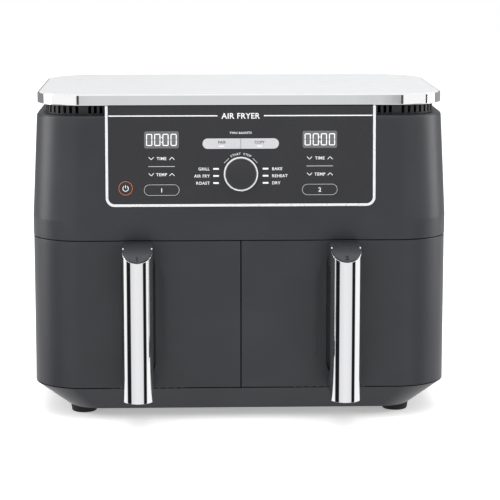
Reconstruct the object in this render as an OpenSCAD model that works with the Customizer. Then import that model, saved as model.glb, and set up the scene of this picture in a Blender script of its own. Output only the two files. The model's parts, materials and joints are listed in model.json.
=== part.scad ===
// Two-drawer countertop air fryer, in millimetres.
// Origin: centre of the footprint on the worktop. +Z is up and the drawers open towards -Y.

/* [Body] */
// Width across the housing
body_w = 416; // [400:1:500]
// Depth of the housing, without the handles and the rear spacers
body_d = 266; // [260:1:330]
// Plan radius of the two front corners
front_corner_r = 50; // [40:1:56]
// Plan radius of the two rear corners
rear_corner_r = 58; // [40:1:70]
// Wall thickness of the moulded housing
wall = 3; // [2.4:0.1:3.6]
// Visible gap between neighbouring shells
seam = 0.6; // [0.4:0.1:1]

/* [Heights] */
// Clearance under the base tray
foot_h = 8.8; // [7:0.1:12]
// Height of the base tray
base_h = 23.6; // [18:0.1:30]
// Height of each drawer front
drawer_h = 148.7; // [138:0.1:180]
// Height of the upright band above the drawers
band_h = 19.4; // [16:0.1:24]
// Height of the sloping part of the upper housing
slope_h = 104; // [98:0.5:125]
// Height of the louvred neck under the lid
neck_h = 9.6; // [8:0.1:12]
// Height of the lid
lid_h = 10.9; // [9:0.1:14]

/* [Slopes and insets] */
// How far the front face leans back over the sloping part
front_lean = 6.5; // [4:0.1:9]
// How far each side leans in over the sloping part
side_lean = 4.8; // [2:0.1:6]
// How far the bottom of the base is set back at the front and the rear
base_front_inset = 15; // [10:0.5:20]
// How far the bottom of the base is set in at each side
base_side_inset = 33; // [20:0.5:36]
// How far the neck is set in from the edge of the lid
neck_inset = 8; // [6:0.5:10]
// How far the lid is set in from the sides of the housing
lid_side_inset = 5.7; // [3:0.1:7]
// How far the lid is set back from the front and the rear of the housing
lid_front_inset = 8; // [6:0.1:9]

/* [Drawers] */
// How far each drawer front wraps round the side
wrap_d = 56; // [52:0.5:70]
// Depth of the hollow drawer front
drawer_t = 17.5; // [16:0.5:22]
// Width of each basket
basket_w = 176; // [150:1:180]
// Depth of each basket
basket_d = 192; // [170:1:200]
// Height of each basket
basket_h = 126; // [110:1:130]
// Plan radius of the basket corners
basket_r = 26; // [16:1:36]
// Sheet thickness of the basket
basket_t = 1.6; // [1.2:0.1:2.5]
// Width of the rim that runs round each basket
basket_rim = 2; // [1:0.1:2.4]
// Clear height between the bay floor and the basket
basket_lift = 4.8; // [4:0.1:7]

/* [Handles] */
// How far the handles stand out from the drawer fronts
handle_reach = 50; // [44:1:60]
// Width of each handle
handle_w = 29.5; // [24:0.5:36]
// Distance of each handle from the middle of the housing
handle_x = 101.7; // [98:0.1:120]
// Front to back thickness of the grip
grip_t = 22; // [20:0.5:26]
// Height of the upper and lower handle mounts
mount_h = 17; // [14:0.5:22]
// Thickness of the bright cover
cover_t = 1.6; // [1.2:0.1:2.4]
// How far the handle reaches below the drawer front
handle_drop = 4.3; // [1:0.1:8]
// Radius of the rounded nose on top of the handle
nose_r = 30; // [26:1:36]
// Slope of the cut across the top of the bright cover
nose_slope = 33; // [25:1:40]
// Depth of the finger recess in the drawer front
recess_d = 7; // [5:0.5:8]

/* [Control panel] */
// Width of the panel over its bright trim
panel_w = 266.5; // [262:0.5:276]
// Height of the panel's lower edge above the foot of the slope
panel_rise = 14.2; // [10:0.1:18]
// Radius of the panel's lower corners
panel_r = 9; // [6:0.5:14]
// Width of the bright trim
trim_w = 2.7; // [2:0.1:4]
// Thickness of the panel
panel_t = 2.6; // [2:0.1:3]
// Width of each display window
window_w = 34.2; // [30:0.1:40]
// Height of each display window
window_h = 17; // [14:0.5:18]
// Distance of each zone's display and key from the middle
zone_x = 78; // [76:0.5:90]
// Width of each zone key
zone_key_w = 35.2; // [30:0.1:40]
// Height of the zone keys
zone_key_h = 11.2; // [9:0.1:13]
// Radius of the power key
power_key_r = 7.1; // [5.5:0.1:9]
// Distance of the power key from the middle
power_key_x = 113.5; // [110:0.5:118]
// Width of the double key
pair_key_w = 75.2; // [68:0.1:84]
// Height of the double key
pair_key_h = 10.2; // [9:0.1:12]
// Travel of every key
key_travel = 0.8; // [0.5:0.1:1]
// Outer radius of the dial's bright ring
dial_r = 16.9; // [15:0.1:18]
// Width of the dial's bright ring
dial_ring_w = 1.6; // [1:0.1:2.5]
// Height of the dial above the panel
dial_h = 7; // [5:0.5:10]
// Travel of the dial when it is pressed
dial_travel = 0.6; // [0.4:0.1:0.8]
// Radius of the dial's shaft
dial_shaft_r = 3; // [2.5:0.1:3.5]

/* [Cooking chambers] */
// Height of the chamber above the drawer opening
chamber_head = 46; // [42:1:52]
// Sheet thickness of the chamber liners
sheet_t = 1.2; // [0.8:0.1:1.6]
// Radius of the convection fan
fan_r = 52; // [40:1:60]
// Radius of the cooling fan above each motor
cooling_fan_r = 34; // [26:1:38]
// Radius of the fan shaft
shaft_r = 3; // [2.5:0.1:4]
// Radius of each motor
motor_r = 28; // [24:1:34]
// Height of each motor
motor_h = 28; // [22:1:32]
// Outer radius of the heating coil
heater_r = 70; // [60:1:74]
// Radius of the heating tube
heater_tube_r = 3.2; // [2.5:0.1:4]
// Number of blades on each convection fan
fan_blades = 10; // [6:1:14]
// Number of blades on each cooling fan
cooling_blades = 7; // [5:1:11]

/* [Fittings] */
// Distance of the feet from the middle, across the housing
foot_x = 159; // [140:1:162]
// Radius of each foot
foot_r = 14; // [10:0.5:15]
// Distance of the feet from the front and the rear of the housing
foot_inset = 45; // [36:1:56]
// How far the rear spacers stand out
spacer_h = 4; // [3:0.5:6]
// Radius of the hole through the cord gland
gland_bore_r = 3.75; // [3:0.05:4.5]
// Radius of the cord gland's body
gland_r = 8.5; // [7:0.5:11]
// Width of the slots in the louvred neck
louvre_gap = 3; // [2:0.1:3.4]
// Distance from one louvre to the next
louvre_pitch = 5.5; // [5:0.1:7]
// Radius of the case screws' shanks
screw_r = 1.9; // [1.5:0.1:2.2]

/* [Clearances] */
// Gap between pieces that seat in each other
fit = 0.1; // [0.05:0.05:0.2]
// Radial gap between a shaft and its bearing
run_fit = 0.05; // [0.02:0.01:0.1]
// Gap round each key
key_gap = 0.35; // [0.3:0.05:0.5]
// Gap between the drawers' moving pieces and the housing
slide_gap = 0.7; // [0.5:0.1:1]

/* [Hidden] */
$fn = 64;
hull_fn = 32;

// Extra length that carries a cut clear through a face
cut = 1;
// A sheet thin enough to stand for a flat outline in a hull
skin = 0.01;

// Depths, from the front of the handles to the rear of the spacers
half_w = body_w / 2;
front_y = -(body_d + handle_reach + spacer_h) / 2 + handle_reach;
rear_y = front_y + body_d;

// Levels
base_top = foot_h + base_h;
drawer_bottom = base_top + seam;
drawer_top = drawer_bottom + drawer_h;
upper_bottom = drawer_top + seam;
slope_bottom = upper_bottom + band_h;
slope_top = slope_bottom + slope_h;
neck_top = slope_top + neck_h;
lid_top = neck_top + lid_h;

// Drawer fronts and the nose of the lower housing that they close over
drawer_half = half_w - seam / 2;
drawer_back = front_y + drawer_t;
nose_inset = seam / 2 + wall + slide_gap;
nose_front = drawer_back + slide_gap + 0.3;
wrap_back = front_y + wrap_d;
housing_front = wrap_back + seam;

// Bays, chambers and baskets, stated for the right-hand side
divider_t = 3;
sill_h = 3.5;
bay_in = divider_t / 2 + 4.5;
nose_corner = front_corner_r - nose_inset;
nose_drop = nose_corner - (nose_front + wall - front_y - nose_inset);
nose_half = half_w - nose_inset - nose_corner + sqrt(nose_corner * nose_corner - nose_drop * nose_drop);
bay_out = nose_half - wall - sheet_t;
bay_x = (bay_in + bay_out) / 2;
chamber_front = nose_front + wall;
basket_front = drawer_back;
basket_back = basket_front + basket_d;
chamber_back = basket_back + 8;
chamber_floor = drawer_bottom;
chamber_top = upper_bottom + chamber_head;
fan_y = (basket_front + basket_back) / 2;
basket_bottom = chamber_floor + sheet_t + basket_lift;
basket_top = basket_bottom + basket_h;
bay_hole_top = drawer_top - 2;

// Levels of the pieces under each chamber roof
roof_bottom = chamber_top - sheet_t;
fan_top = roof_bottom - 4;
blade_h = 10;
fan_bottom = fan_top - blade_h;
heater_z = fan_bottom - heater_tube_r - 3.5;
guard_wire_r = 1.3;
guard_z = heater_z - heater_tube_r - 4;
motor_bottom = chamber_top + 8;
motor_top = motor_bottom + motor_h;
cooling_bottom = motor_top + 4;
cooling_h = 9;
hub_r = 9;

// Crisper plates
plate_gap = 2.5;
plate_t = 1.5;
plate_z = basket_bottom + basket_t + 8;
bumper_h = 9;
plate_w = basket_w - 2 * basket_t - 2 * plate_gap;
plate_d = basket_d - 2 * basket_t - 2 * plate_gap;
plate_r = basket_r - basket_t - plate_gap;

// Handles
handle_front = front_y - handle_reach;
handle_half = handle_w / 2;
grip_back = handle_front + grip_t;
handle_bottom = drawer_bottom - handle_drop;
cap_top = drawer_top - 1.6;
core_bottom = drawer_bottom + 0.6;
nose_y = handle_front + sqrt(nose_r * nose_r - (nose_r - 11.3) * (nose_r - 11.3));
cover_peak = cap_top - 11.3;
recess_margin = 1.75;
recess_half = handle_half + recess_margin;
recess_low = drawer_bottom + 9;
recess_high = drawer_top - 8;
screw_low = core_bottom + mount_h / 2 + 2;
screw_high = cap_top - mount_h / 2 - 3;

// The control panel's own frame: x to the right, y up the sloping face, z out of it
lean = atan(front_lean / slope_h);
panel_low = panel_rise;
panel_high = (slope_h + neck_h) / cos(lean) - 0.3;
board_z = -14;
board_t = 1.6;
switch_top = -8.9;
dial_y = panel_low + 32.5;
zone_key_y = panel_low + 16.6;
power_key_y = panel_low + 18.5;
window_y = panel_low + 66.1;
pair_key_y = panel_low + 62.2;
knob_r = dial_r - dial_ring_w - fit;
knob_z = dial_travel + 0.6;

// Lid and neck
lid_half = half_w - lid_side_inset;
lid_front = front_y + lid_front_inset;
lid_rear = rear_y - lid_front_inset / 2;
lid_front_r = front_corner_r - lid_side_inset;
lid_rear_r = rear_corner_r - lid_side_inset;
lid_trim_t = 1.6;
lid_crown = 0.4;
neck_t = 3;

// Draws a plan outline with its own front and rear corner radii
module plan(half, y0, y1, rf, rr) {
    translate([-half, y0 + rf]) square([2 * half, y1 - rr - y0 - rf]);
    translate([-half + rf, y0]) square([2 * (half - rf), rf + cut]);
    translate([-half + rr, y1 - rr - cut]) square([2 * (half - rr), rr + cut]);
    for (side = [-1, 1]) {
        translate([side * (half - rf), y0 + rf]) circle(rf);
        translate([side * (half - rr), y1 - rr]) circle(rr);
    }
}

// Draws the housing's outline, moved inwards by a wall or a gap
module outline(inset) {
    plan(half_w - inset, front_y + inset, rear_y - inset, front_corner_r - inset, rear_corner_r - inset);
}

// Draws a rectangle with round corners about its centre
module round_rect(w, h, r) {
    square([w, h - 2 * r], center = true);
    square([w - 2 * r, h], center = true);
    for (sx = [-1, 1], sy = [-1, 1]) {
        translate([sx * (w / 2 - r), sy * (h / 2 - r)]) circle(r);
    }
}

// Makes the box between two corners
module span(low, high) {
    translate(low) cube(high - low);
}

// Mirrors a right-hand piece to the side it is wanted on
module on_side(side) {
    mirror([side < 0 ? 1 : 0, 0, 0]) children();
}

// Moves a piece from the panel's own frame to the sloping face
module on_face() {
    translate([0, front_y, slope_bottom]) rotate([90 - lean, 0, 0]) children();
}

// Stands a piece's z axis along +Y, with its own y axis pointing down
module along_y() {
    rotate([-90, 0, 0]) children();
}

// The solid between the top and bottom outlines of the base tray, moved inwards by a wall
module base_shape(inset) {
    low_r = front_corner_r - base_front_inset - inset;
    hull() {
        translate([0, 0, base_top - skin]) linear_extrude(skin) {
            outline(seam / 2 + inset, $fn = hull_fn);
        }
        translate([0, 0, foot_h + inset]) linear_extrude(skin) {
            plan(half_w - base_side_inset - inset, front_y + base_front_inset + inset,
                rear_y - base_front_inset - inset, low_r, low_r, $fn = hull_fn);
        }
    }
}

// Places something at each of the four feet
module at_feet() {
    for (sx = [-1, 1], y = [front_y + foot_inset, rear_y - foot_inset]) {
        translate([sx * foot_x, y, 0]) children();
    }
}

// Places something at each case screw under the divider
module at_divider_screws() {
    for (y = [chamber_front + 18, fan_y, chamber_back - 17]) {
        translate([0, y, 0]) children();
    }
}

// Places something at each case screw behind the chambers
module at_rear_screws() {
    for (sx = [-1, 1]) {
        translate([sx * rear_screw_x, rear_y - screw_setback, 0]) children();
    }
}

rear_screw_x = 110;
screw_setback = 24;
screw_pocket_r = 4.2;
screw_post_r = 5.5;
screw_head_h = 2.4;
screw_seat_t = 3;
screw_depth = 15;
foot_stem_r = 4;
foot_stem_h = 9;
foot_taper = 1.5;
foot_well_r = foot_r - 2;
tray_rib_x = [-150, -40, 40, 150];
tray_rib_inset = 40;
intake_x = 95;
intake_slots = 10;
intake_pitch = 8;
intake_w = 3;
intake_l = 70;

// The clearance hole of a case screw and the pocket under its head
module screw_pocket() {
    translate([0, 0, -cut]) cylinder(h = base_top + 2 * cut, r = screw_r + fit);
    translate([0, 0, -cut]) cylinder(h = base_top - screw_seat_t + cut, r = screw_pocket_r);
}

module base_tray() {
    color("#3a3b3e") difference() {
        union() {
            difference() {
                base_shape(0);
                difference() {
                    base_shape(wall);
                    at_feet() translate([0, 0, foot_h]) cylinder(h = base_h, r = foot_well_r);
                }
                translate([0, 0, base_top - skin - cut / 2]) linear_extrude(cut) outline(seam / 2 + wall);
            }
            intersection() {
                base_shape(wall / 2);
                union() {
                    for (x = tray_rib_x) {
                        span([x - wall / 2, front_y + tray_rib_inset, foot_h],
                            [x + wall / 2, rear_y - tray_rib_inset, base_top]);
                    }
                    at_divider_screws() cylinder(h = base_top, r = screw_post_r);
                    at_rear_screws() cylinder(h = base_top, r = screw_post_r);
                }
            }
        }
        at_feet() translate([0, 0, foot_h - cut]) cylinder(h = foot_stem_h + 1 + cut, r = foot_stem_r + fit);
        at_divider_screws() screw_pocket();
        at_rear_screws() screw_pocket();
        for (sx = [-1, 1], i = [0 : intake_slots - 1]) {
            slot_x = (i - (intake_slots - 1) / 2) * intake_pitch;
            translate([sx * intake_x + slot_x, fan_y, foot_h - cut]) linear_extrude(wall + 2 * cut) {
                round_rect(intake_w, intake_l, intake_w / 2 - 0.1);
            }
        }
    }
}

module feet() {
    color("#1c1c1d") at_feet() {
        cylinder(h = foot_h, r1 = foot_r - foot_taper, r2 = foot_r);
        translate([0, 0, foot_h]) cylinder(h = foot_stem_h, r = foot_stem_r);
    }
}

// Cuts both bays' chambers out of whatever they pass through
module chamber_cuts(low, high) {
    for (side = [-1, 1]) on_side(side) {
        span([bay_in - fit, chamber_front - fit, low], [bay_out + fit, chamber_back + fit, high]);
    }
}

// The part of a plan that lies between two depths
module between(y0, y1) {
    intersection() {
        children();
        translate([-half_w, y0]) square([body_w, y1 - y0]);
    }
}

module lower_housing() {
    color("#3c3d40") difference() {
        translate([0, 0, drawer_bottom]) linear_extrude(drawer_h) {
            difference() {
                between(housing_front, rear_y) outline(0);
                between(housing_front + wall, rear_y) outline(wall);
                between(front_y, housing_front + 2 * wall) outline(nose_inset - fit);
            }
            // Screw posts, with the ribs that join them to the rear wall
            at_rear_screws() {
                circle(screw_post_r);
                translate([-wall / 2, 0]) square([wall, screw_setback - wall / 2]);
            }
        }
        at_rear_screws() screw_bore();
        translate([gland_x, rear_y - wall - cut, gland_z]) along_y() {
            cylinder(h = wall + 2 * cut, r = gland_r + fit);
        }
        at_spacers() translate([0, 0, -wall - cut]) cylinder(h = wall + 2 * cut, r = spacer_stem_r + fit);
    }
}

// The blind hole that a case screw bites into
module screw_bore() {
    translate([0, 0, drawer_bottom - cut]) cylinder(h = screw_depth + 1 + cut, r = screw_r);
}

// The nose that the drawer fronts close over, with its front plate
module front_frame() {
    color("#2c2d30") difference() {
        translate([0, 0, drawer_bottom]) linear_extrude(drawer_h) difference() {
            between(nose_front, housing_front + wall) outline(nose_inset);
            between(chamber_front, housing_front + 2 * wall) outline(nose_inset + wall);
        }
        for (side = [-1, 1]) on_side(side) {
            span([bay_in, nose_front - cut, drawer_bottom + sill_h],
                [bay_out, chamber_front, drawer_top + cut]);
        }
    }
}

module bay_divider() {
    color("#2c2d30") difference() {
        translate([0, 0, drawer_bottom]) linear_extrude(drawer_h) {
            translate([-divider_t / 2, chamber_front + fit]) {
                square([divider_t, chamber_back - chamber_front - 2 * fit]);
            }
            at_divider_screws() circle(screw_post_r);
        }
        at_divider_screws() screw_bore();
    }
}

// The web between the two halves of the housing, which holds the chambers upright
module chamber_deck() {
    color("#2c2d30") difference() {
        translate([0, 0, upper_bottom]) linear_extrude(wall) outline(wall + fit);
        chamber_cuts(upper_bottom - cut, upper_bottom + wall + cut);
    }
}

gland_x = -130;
gland_z = 58;
spacer_stem_r = 3;
spacer_r = 9;
spacer_x = 135;
spacer_z = 120;
spacer_taper = 1.5;
gland_tail = 5;
gland_flange_t = 3;
gland_flange = 2.5;

// Places something on the rear wall at each spacer, with z pointing out of the wall
module at_spacers() {
    for (sx = [-1, 1]) {
        translate([sx * spacer_x, rear_y, spacer_z]) along_y() children();
    }
}

module rear_spacers() {
    color("#2a2a2c") at_spacers() {
        cylinder(h = spacer_h, r1 = spacer_r, r2 = spacer_r - spacer_taper);
        translate([0, 0, -wall - spacer_taper]) cylinder(h = wall + spacer_taper, r = spacer_stem_r);
    }
}

module cord_gland() {
    color("#232325") translate([gland_x, rear_y, gland_z]) along_y() difference() {
        union() {
            cylinder(h = gland_flange_t, r1 = gland_r + gland_flange, r2 = gland_r + gland_flange - 1);
            translate([0, 0, -wall - gland_tail]) cylinder(h = wall + gland_tail, r = gland_r);
        }
        translate([0, 0, -wall - gland_tail - cut]) {
            cylinder(h = wall + gland_tail + gland_flange_t + 2 * cut, r = gland_bore_r);
        }
    }
}

// The sloping part of the upper housing, moved inwards by a wall
module slope_shape(inset) {
    hull() {
        translate([0, 0, slope_bottom]) linear_extrude(skin) outline(inset, $fn = hull_fn);
        translate([0, 0, slope_top - skin]) linear_extrude(skin) {
            plan(half_w - side_lean - inset, front_y + front_lean + inset, rear_y - inset,
                front_corner_r - side_lean - inset, rear_corner_r - side_lean - inset, $fn = hull_fn);
        }
    }
}

deck_lip = 22;
grille_w = 170;
grille_h = 66;
grille_r = 6;
grille_z = slope_bottom + 46;

module upper_housing() {
    color("#424347") difference() {
        union() {
            translate([0, 0, upper_bottom]) linear_extrude(band_h + skin) outline(0);
            slope_shape(0);
        }
        difference() {
            union() {
                translate([0, 0, upper_bottom - cut]) linear_extrude(band_h + cut + skin) outline(wall);
                slope_shape(wall);
            }
            // Deck round the top that carries the neck
            span([-half_w, front_y, slope_top - wall], [half_w, rear_y, slope_top]);
        }
        translate([0, 0, slope_top - wall - cut]) linear_extrude(wall + 2 * cut) {
            plan(half_w - deck_lip, front_y + deck_lip, rear_y - deck_lip,
                front_corner_r - deck_lip + wall, rear_corner_r - deck_lip + wall);
        }
        on_face() translate([0, 0, -deck_lip - cut]) linear_extrude(deck_lip + 6 * cut) panel_outline(0);
        translate([0, rear_y - wall - cut, grille_z]) along_y() linear_extrude(wall + 2 * cut) {
            round_rect(grille_w + 2 * fit, grille_h + 2 * fit, grille_r);
        }
    }
}

// Solid height left above and below the louvres, and the number of louvres round each corner
louvre_margin = 1.2;
corner_louvres = 9;

module vent_neck() {
    half = lid_half - neck_inset;
    y0 = lid_front + neck_inset;
    y1 = lid_rear - neck_inset;
    rf = lid_front_r - neck_inset;
    rr = lid_rear_r - neck_inset;
    slot = neck_t * 3;
    across = floor((half - rf - louvre_pitch) / louvre_pitch);
    along = floor((y1 - rr - y0 - rf) / louvre_pitch / 2) - 1;
    color("#202123") difference() {
        translate([0, 0, slope_top]) linear_extrude(neck_h) difference() {
            plan(half, y0, y1, rf, rr);
            plan(half - neck_t, y0 + neck_t, y1 - neck_t, rf - neck_t, rr - neck_t);
        }
        translate([0, 0, slope_top + louvre_margin]) linear_extrude(neck_h - 2 * louvre_margin) {
            for (sx = [-1, 1], i = [ceil(panel_w / 2 / louvre_pitch) : across]) {
                translate([sx * i * louvre_pitch - louvre_gap / 2, y0 - slot / 2]) square([louvre_gap, slot]);
            }
            for (i = [-across : across]) {
                translate([i * louvre_pitch - louvre_gap / 2, y1 - slot / 2]) square([louvre_gap, slot]);
            }
            for (sx = [-1, 1], i = [-along : along]) {
                slot_y = (y0 + rf + y1 - rr) / 2 + i * louvre_pitch;
                translate([sx * half - slot / 2, slot_y - louvre_gap / 2]) square([slot, louvre_gap]);
            }
            for (sx = [-1, 1], i = [0 : corner_louvres - 1]) {
                turn = sx * (i + 0.5) * 90 / corner_louvres;
                translate([sx * (half - rf), y0 + rf]) rotate(turn - 90) {
                    translate([rf - slot / 2, -louvre_gap / 2]) square([slot, louvre_gap]);
                }
                translate([sx * (half - rr), y1 - rr]) rotate(90 - turn) {
                    translate([rr - slot / 2, -louvre_gap / 2]) square([slot, louvre_gap]);
                }
            }
        }
    }
}

module lid_outline(inset) {
    plan(lid_half - inset, lid_front + inset, lid_rear - inset, lid_front_r - inset, lid_rear_r - inset);
}

module top_cover() {
    color("#eeeeef") difference() {
        translate([0, 0, neck_top]) linear_extrude(lid_h) lid_outline(lid_trim_t + fit);
        translate([0, 0, neck_top - cut]) linear_extrude(lid_h - wall + cut) {
            lid_outline(lid_trim_t + fit + wall);
        }
    }
}

module top_trim() {
    color("#c9cacc") translate([0, 0, neck_top]) linear_extrude(lid_h - lid_crown) difference() {
        lid_outline(0);
        lid_outline(lid_trim_t);
    }
}

// Outline of the panel on the sloping face: round at its lower corners and open at the top
module panel_outline(inset) {
    w = panel_w - 2 * inset;
    r = panel_r - inset;
    low = panel_low + inset;
    translate([-w / 2, low + r]) square([w, panel_high - low - r]);
    translate([-w / 2 + r, low]) square([w - 2 * r, r + cut]);
    for (sx = [-1, 1]) {
        translate([sx * (w / 2 - r), low + r]) circle(r);
    }
}

// How far the bright trim stands out of the face
trim_proud = 0.6;

module control_bezel() {
    color("#d5d6d9") on_face() translate([0, 0, -wall]) linear_extrude(wall + trim_proud) difference() {
        panel_outline(fit);
        translate([0, cut]) panel_outline(trim_w);
        panel_outline(trim_w);
    }
}

window_r = 2;
window_sink = 0.1;
window_rim = 1.5;

module window_shape(gap) {
    round_rect(window_w + 2 * gap, window_h + 2 * gap, window_r);
}

// Share of a key's half height that its end radius takes
pill_round = 0.98;

module pill(w, h, gap) {
    round_rect(w + 2 * gap, h + 2 * gap, (h / 2 + gap) * pill_round);
}

module control_panel() {
    color("#2b2c2f") on_face() translate([0, 0, -panel_t]) linear_extrude(panel_t) difference() {
        panel_outline(trim_w + fit);
        for (sx = [-1, 1]) {
            translate([sx * zone_x, window_y]) window_shape(fit);
            translate([sx * zone_x, zone_key_y]) pill(zone_key_w, zone_key_h, key_gap);
        }
        translate([-power_key_x, power_key_y]) circle(power_key_r + key_gap);
        translate([0, pair_key_y]) pill(pair_key_w, pair_key_h, key_gap);
        translate([0, dial_y]) circle(dial_shaft_r + 1);
    }
}

module display_windows() {
    color("#6b6b6b", 0.6) on_face() for (sx = [-1, 1]) {
        translate([sx * zone_x, window_y, -panel_t]) linear_extrude(panel_t - window_sink) window_shape(0);
    }
}

module display_modules() {
    color("#e8e8ea") on_face() for (sx = [-1, 1]) {
        translate([sx * zone_x, window_y, board_z + board_t]) {
            linear_extrude(-board_z - board_t - panel_t - fit) {
                square([window_w - 2 * window_rim, window_h - 2 * window_rim], center = true);
            }
        }
    }
}

// Positions and sizes of the tact switches under the keys, in the panel's own frame
module at_switches() {
    for (p = [[-power_key_x, power_key_y], [-zone_x, zone_key_y], [zone_x, zone_key_y],
              [-pair_key_w / 4, pair_key_y], [pair_key_w / 4, pair_key_y]]) {
        translate([p[0], p[1], 0]) children();
    }
}

board_margin = 9;
board_h = 76;
board_post_x = 40;
board_post_r = 2.5;
switch_w = 6;

module control_board() {
    color("#2f5a3c") on_face() {
        translate([0, 0, board_z]) linear_extrude(board_t) difference() {
            translate([-panel_w / 2 + board_margin, panel_low + board_margin - wall]) {
                square([panel_w - 2 * board_margin, board_h]);
            }
            translate([0, dial_y]) circle(dial_shaft_r - 0.5);
        }
        for (sx = [-1, 1], y = [panel_low + board_margin, window_y + 14]) {
            translate([sx * board_post_x, y, board_z + board_t]) {
                cylinder(h = -board_z - board_t - panel_t, r = board_post_r);
            }
        }
        at_switches() translate([-switch_w / 2, -switch_w / 2, board_z + board_t]) {
            cube([switch_w, switch_w, switch_top - board_z - board_t]);
        }
    }
}

encoder_w = 14;
encoder_h = 6.4;
encoder_floor = 0.8;

module dial_encoder() {
    color("#8a8d90") on_face() translate([0, dial_y, board_z + board_t]) difference() {
        translate([-encoder_w / 2, -encoder_w / 2, 0]) cube([encoder_w, encoder_w, encoder_h]);
        translate([0, 0, encoder_floor]) cylinder(h = encoder_h, r = dial_shaft_r + run_fit);
    }
}

module encoder_plunger() {
    low = board_z + board_t + encoder_floor + dial_travel + 0.2;
    color("#b9bbbd") on_face() translate([0, dial_y, low]) {
        cylinder(h = knob_z + dial_h * 0.6 - low, r = dial_shaft_r);
    }
}

knob_edge = 1;
knob_rim = 4;
knob_dish = 0.6;
ring_edge = 0.8;

module dial_knob() {
    color("#2a2b2d") on_face() translate([0, dial_y, knob_z]) difference() {
        rotate_extrude() polygon([
            [0, 0], [knob_r, 0], [knob_r, dial_h - knob_edge], [knob_r - knob_edge, dial_h],
            [knob_r - knob_rim, dial_h], [0, dial_h - knob_dish]
        ]);
        translate([0, 0, -cut]) cylinder(h = dial_h * 0.6 + cut + fit, r = dial_shaft_r + run_fit);
    }
}

module dial_ring() {
    color("#d0d1d4") on_face() translate([0, dial_y, knob_z]) difference() {
        union() {
            cylinder(h = dial_h * 0.6, r = dial_r);
            translate([0, 0, dial_h * 0.6]) cylinder(h = ring_edge, r1 = dial_r, r2 = dial_r - ring_edge);
        }
        translate([0, 0, -cut]) cylinder(h = dial_h + 2 * cut, r = dial_r - dial_ring_w);
    }
}

key_proud = 0.25;
key_flange = 1.2;
key_flange_t = 1;
flange_top = -panel_t - 0.3;
key_cap_h = key_proud - flange_top + skin;
stem_r = 1.5;
stem_low = switch_top + key_travel + 0.15;

// The stem that carries each key's push to its switch
module key_stem() {
    translate([0, 0, stem_low]) cylinder(h = flange_top - stem_low, r = stem_r);
}

module power_key() {
    color("#2b2c2f") on_face() translate([-power_key_x, power_key_y, 0]) {
        translate([0, 0, flange_top - skin]) cylinder(h = key_cap_h, r = power_key_r);
        translate([0, 0, flange_top - key_flange_t]) cylinder(h = key_flange_t, r = power_key_r + key_flange);
        key_stem();
    }
}

module zone_key(side) {
    color("#2b2c2f") on_face() translate([side * zone_x, zone_key_y, 0]) {
        translate([0, 0, flange_top - skin]) linear_extrude(key_cap_h) pill(zone_key_w, zone_key_h, 0);
        translate([0, 0, flange_top - key_flange_t]) {
            linear_extrude(key_flange_t) pill(zone_key_w, zone_key_h, key_flange);
        }
        key_stem();
    }
}

// One half of the double key under the displays
module pair_key(side) {
    color("#d5d6d9") on_face() translate([0, pair_key_y, 0]) {
        translate([0, 0, flange_top - key_flange_t]) linear_extrude(key_proud - flange_top + key_flange_t) {
            intersection() {
                pill(pair_key_w, pair_key_h, 0);
                translate([side > 0 ? key_gap / 2 : -pair_key_w, -pair_key_h]) {
                    square([pair_key_w - key_gap / 2, 2 * pair_key_h]);
                }
            }
        }
        translate([side * pair_key_w / 4, 0, 0]) key_stem();
    }
}

grille_bar = 6;
grille_rows = 9;
grille_slot_h = 3.4;

module rear_grille() {
    slot_w = grille_w / 2 - grille_bar;
    color("#2b2c2e") translate([0, rear_y - wall, grille_z]) along_y() linear_extrude(wall) difference() {
        round_rect(grille_w, grille_h, grille_r);
        for (sx = [-1, 1], i = [0 : grille_rows - 1]) {
            row = (i - (grille_rows - 1) / 2) * (grille_h - grille_bar) / grille_rows;
            translate([sx * (grille_w / 4 - 1), row]) {
                round_rect(slot_w, grille_slot_h, grille_slot_h / 2 - 0.2);
            }
        }
    }
}

probe_r = 2;
probe_z = guard_z - 8;
probe_x = bay_x - 50;
switch_x = bay_x + 40;
switch_z = chamber_floor + 40;
plunger_r = 2;
terminal_x = 14;
terminal_y = sqrt(heater_r * heater_r - terminal_x * terminal_x);
hole_reach = 3 * sheet_t + cut;
exhaust_slots = 6;
exhaust_pitch = 10;
exhaust_w = 4;
exhaust_h = 20;

module chamber(side) {
    hole_y = chamber_back - 2 * sheet_t - cut / 2;
    color("#b4b6b8") on_side(side) difference() {
        span([bay_in, chamber_front, chamber_floor], [bay_out, chamber_back, chamber_top]);
        span([bay_in + sheet_t, chamber_front + sheet_t, chamber_floor + sheet_t],
            [bay_out - sheet_t, chamber_back - sheet_t, roof_bottom]);
        span([bay_in + sheet_t, chamber_front - cut, chamber_floor + sheet_t],
            [bay_out - sheet_t, chamber_front + sheet_t + cut, upper_bottom - 0.4]);
        translate([bay_x, fan_y, roof_bottom - cut]) cylinder(h = sheet_t + 2 * cut, r = shaft_r + 2);
        for (sx = [-1, 1]) {
            translate([bay_x + sx * terminal_x, fan_y + terminal_y, roof_bottom - cut]) {
                cylinder(h = sheet_t + 2 * cut, r = heater_tube_r + fit);
            }
        }
        translate([probe_x, hole_y, probe_z]) along_y() cylinder(h = hole_reach, r = probe_r + fit);
        translate([switch_x, hole_y, switch_z]) along_y() cylinder(h = hole_reach, r = plunger_r + 0.5);
        for (i = [1 : exhaust_slots]) {
            translate([bay_x + exhaust_pitch * i, hole_y, chamber_top - exhaust_h]) along_y() {
                linear_extrude(hole_reach) round_rect(exhaust_w, exhaust_h, exhaust_w / 2 - 0.2);
            }
        }
    }
}

inner_turn = 18;
inner_gap = 20;
collar_r = heater_tube_r + 0.6;

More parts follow.
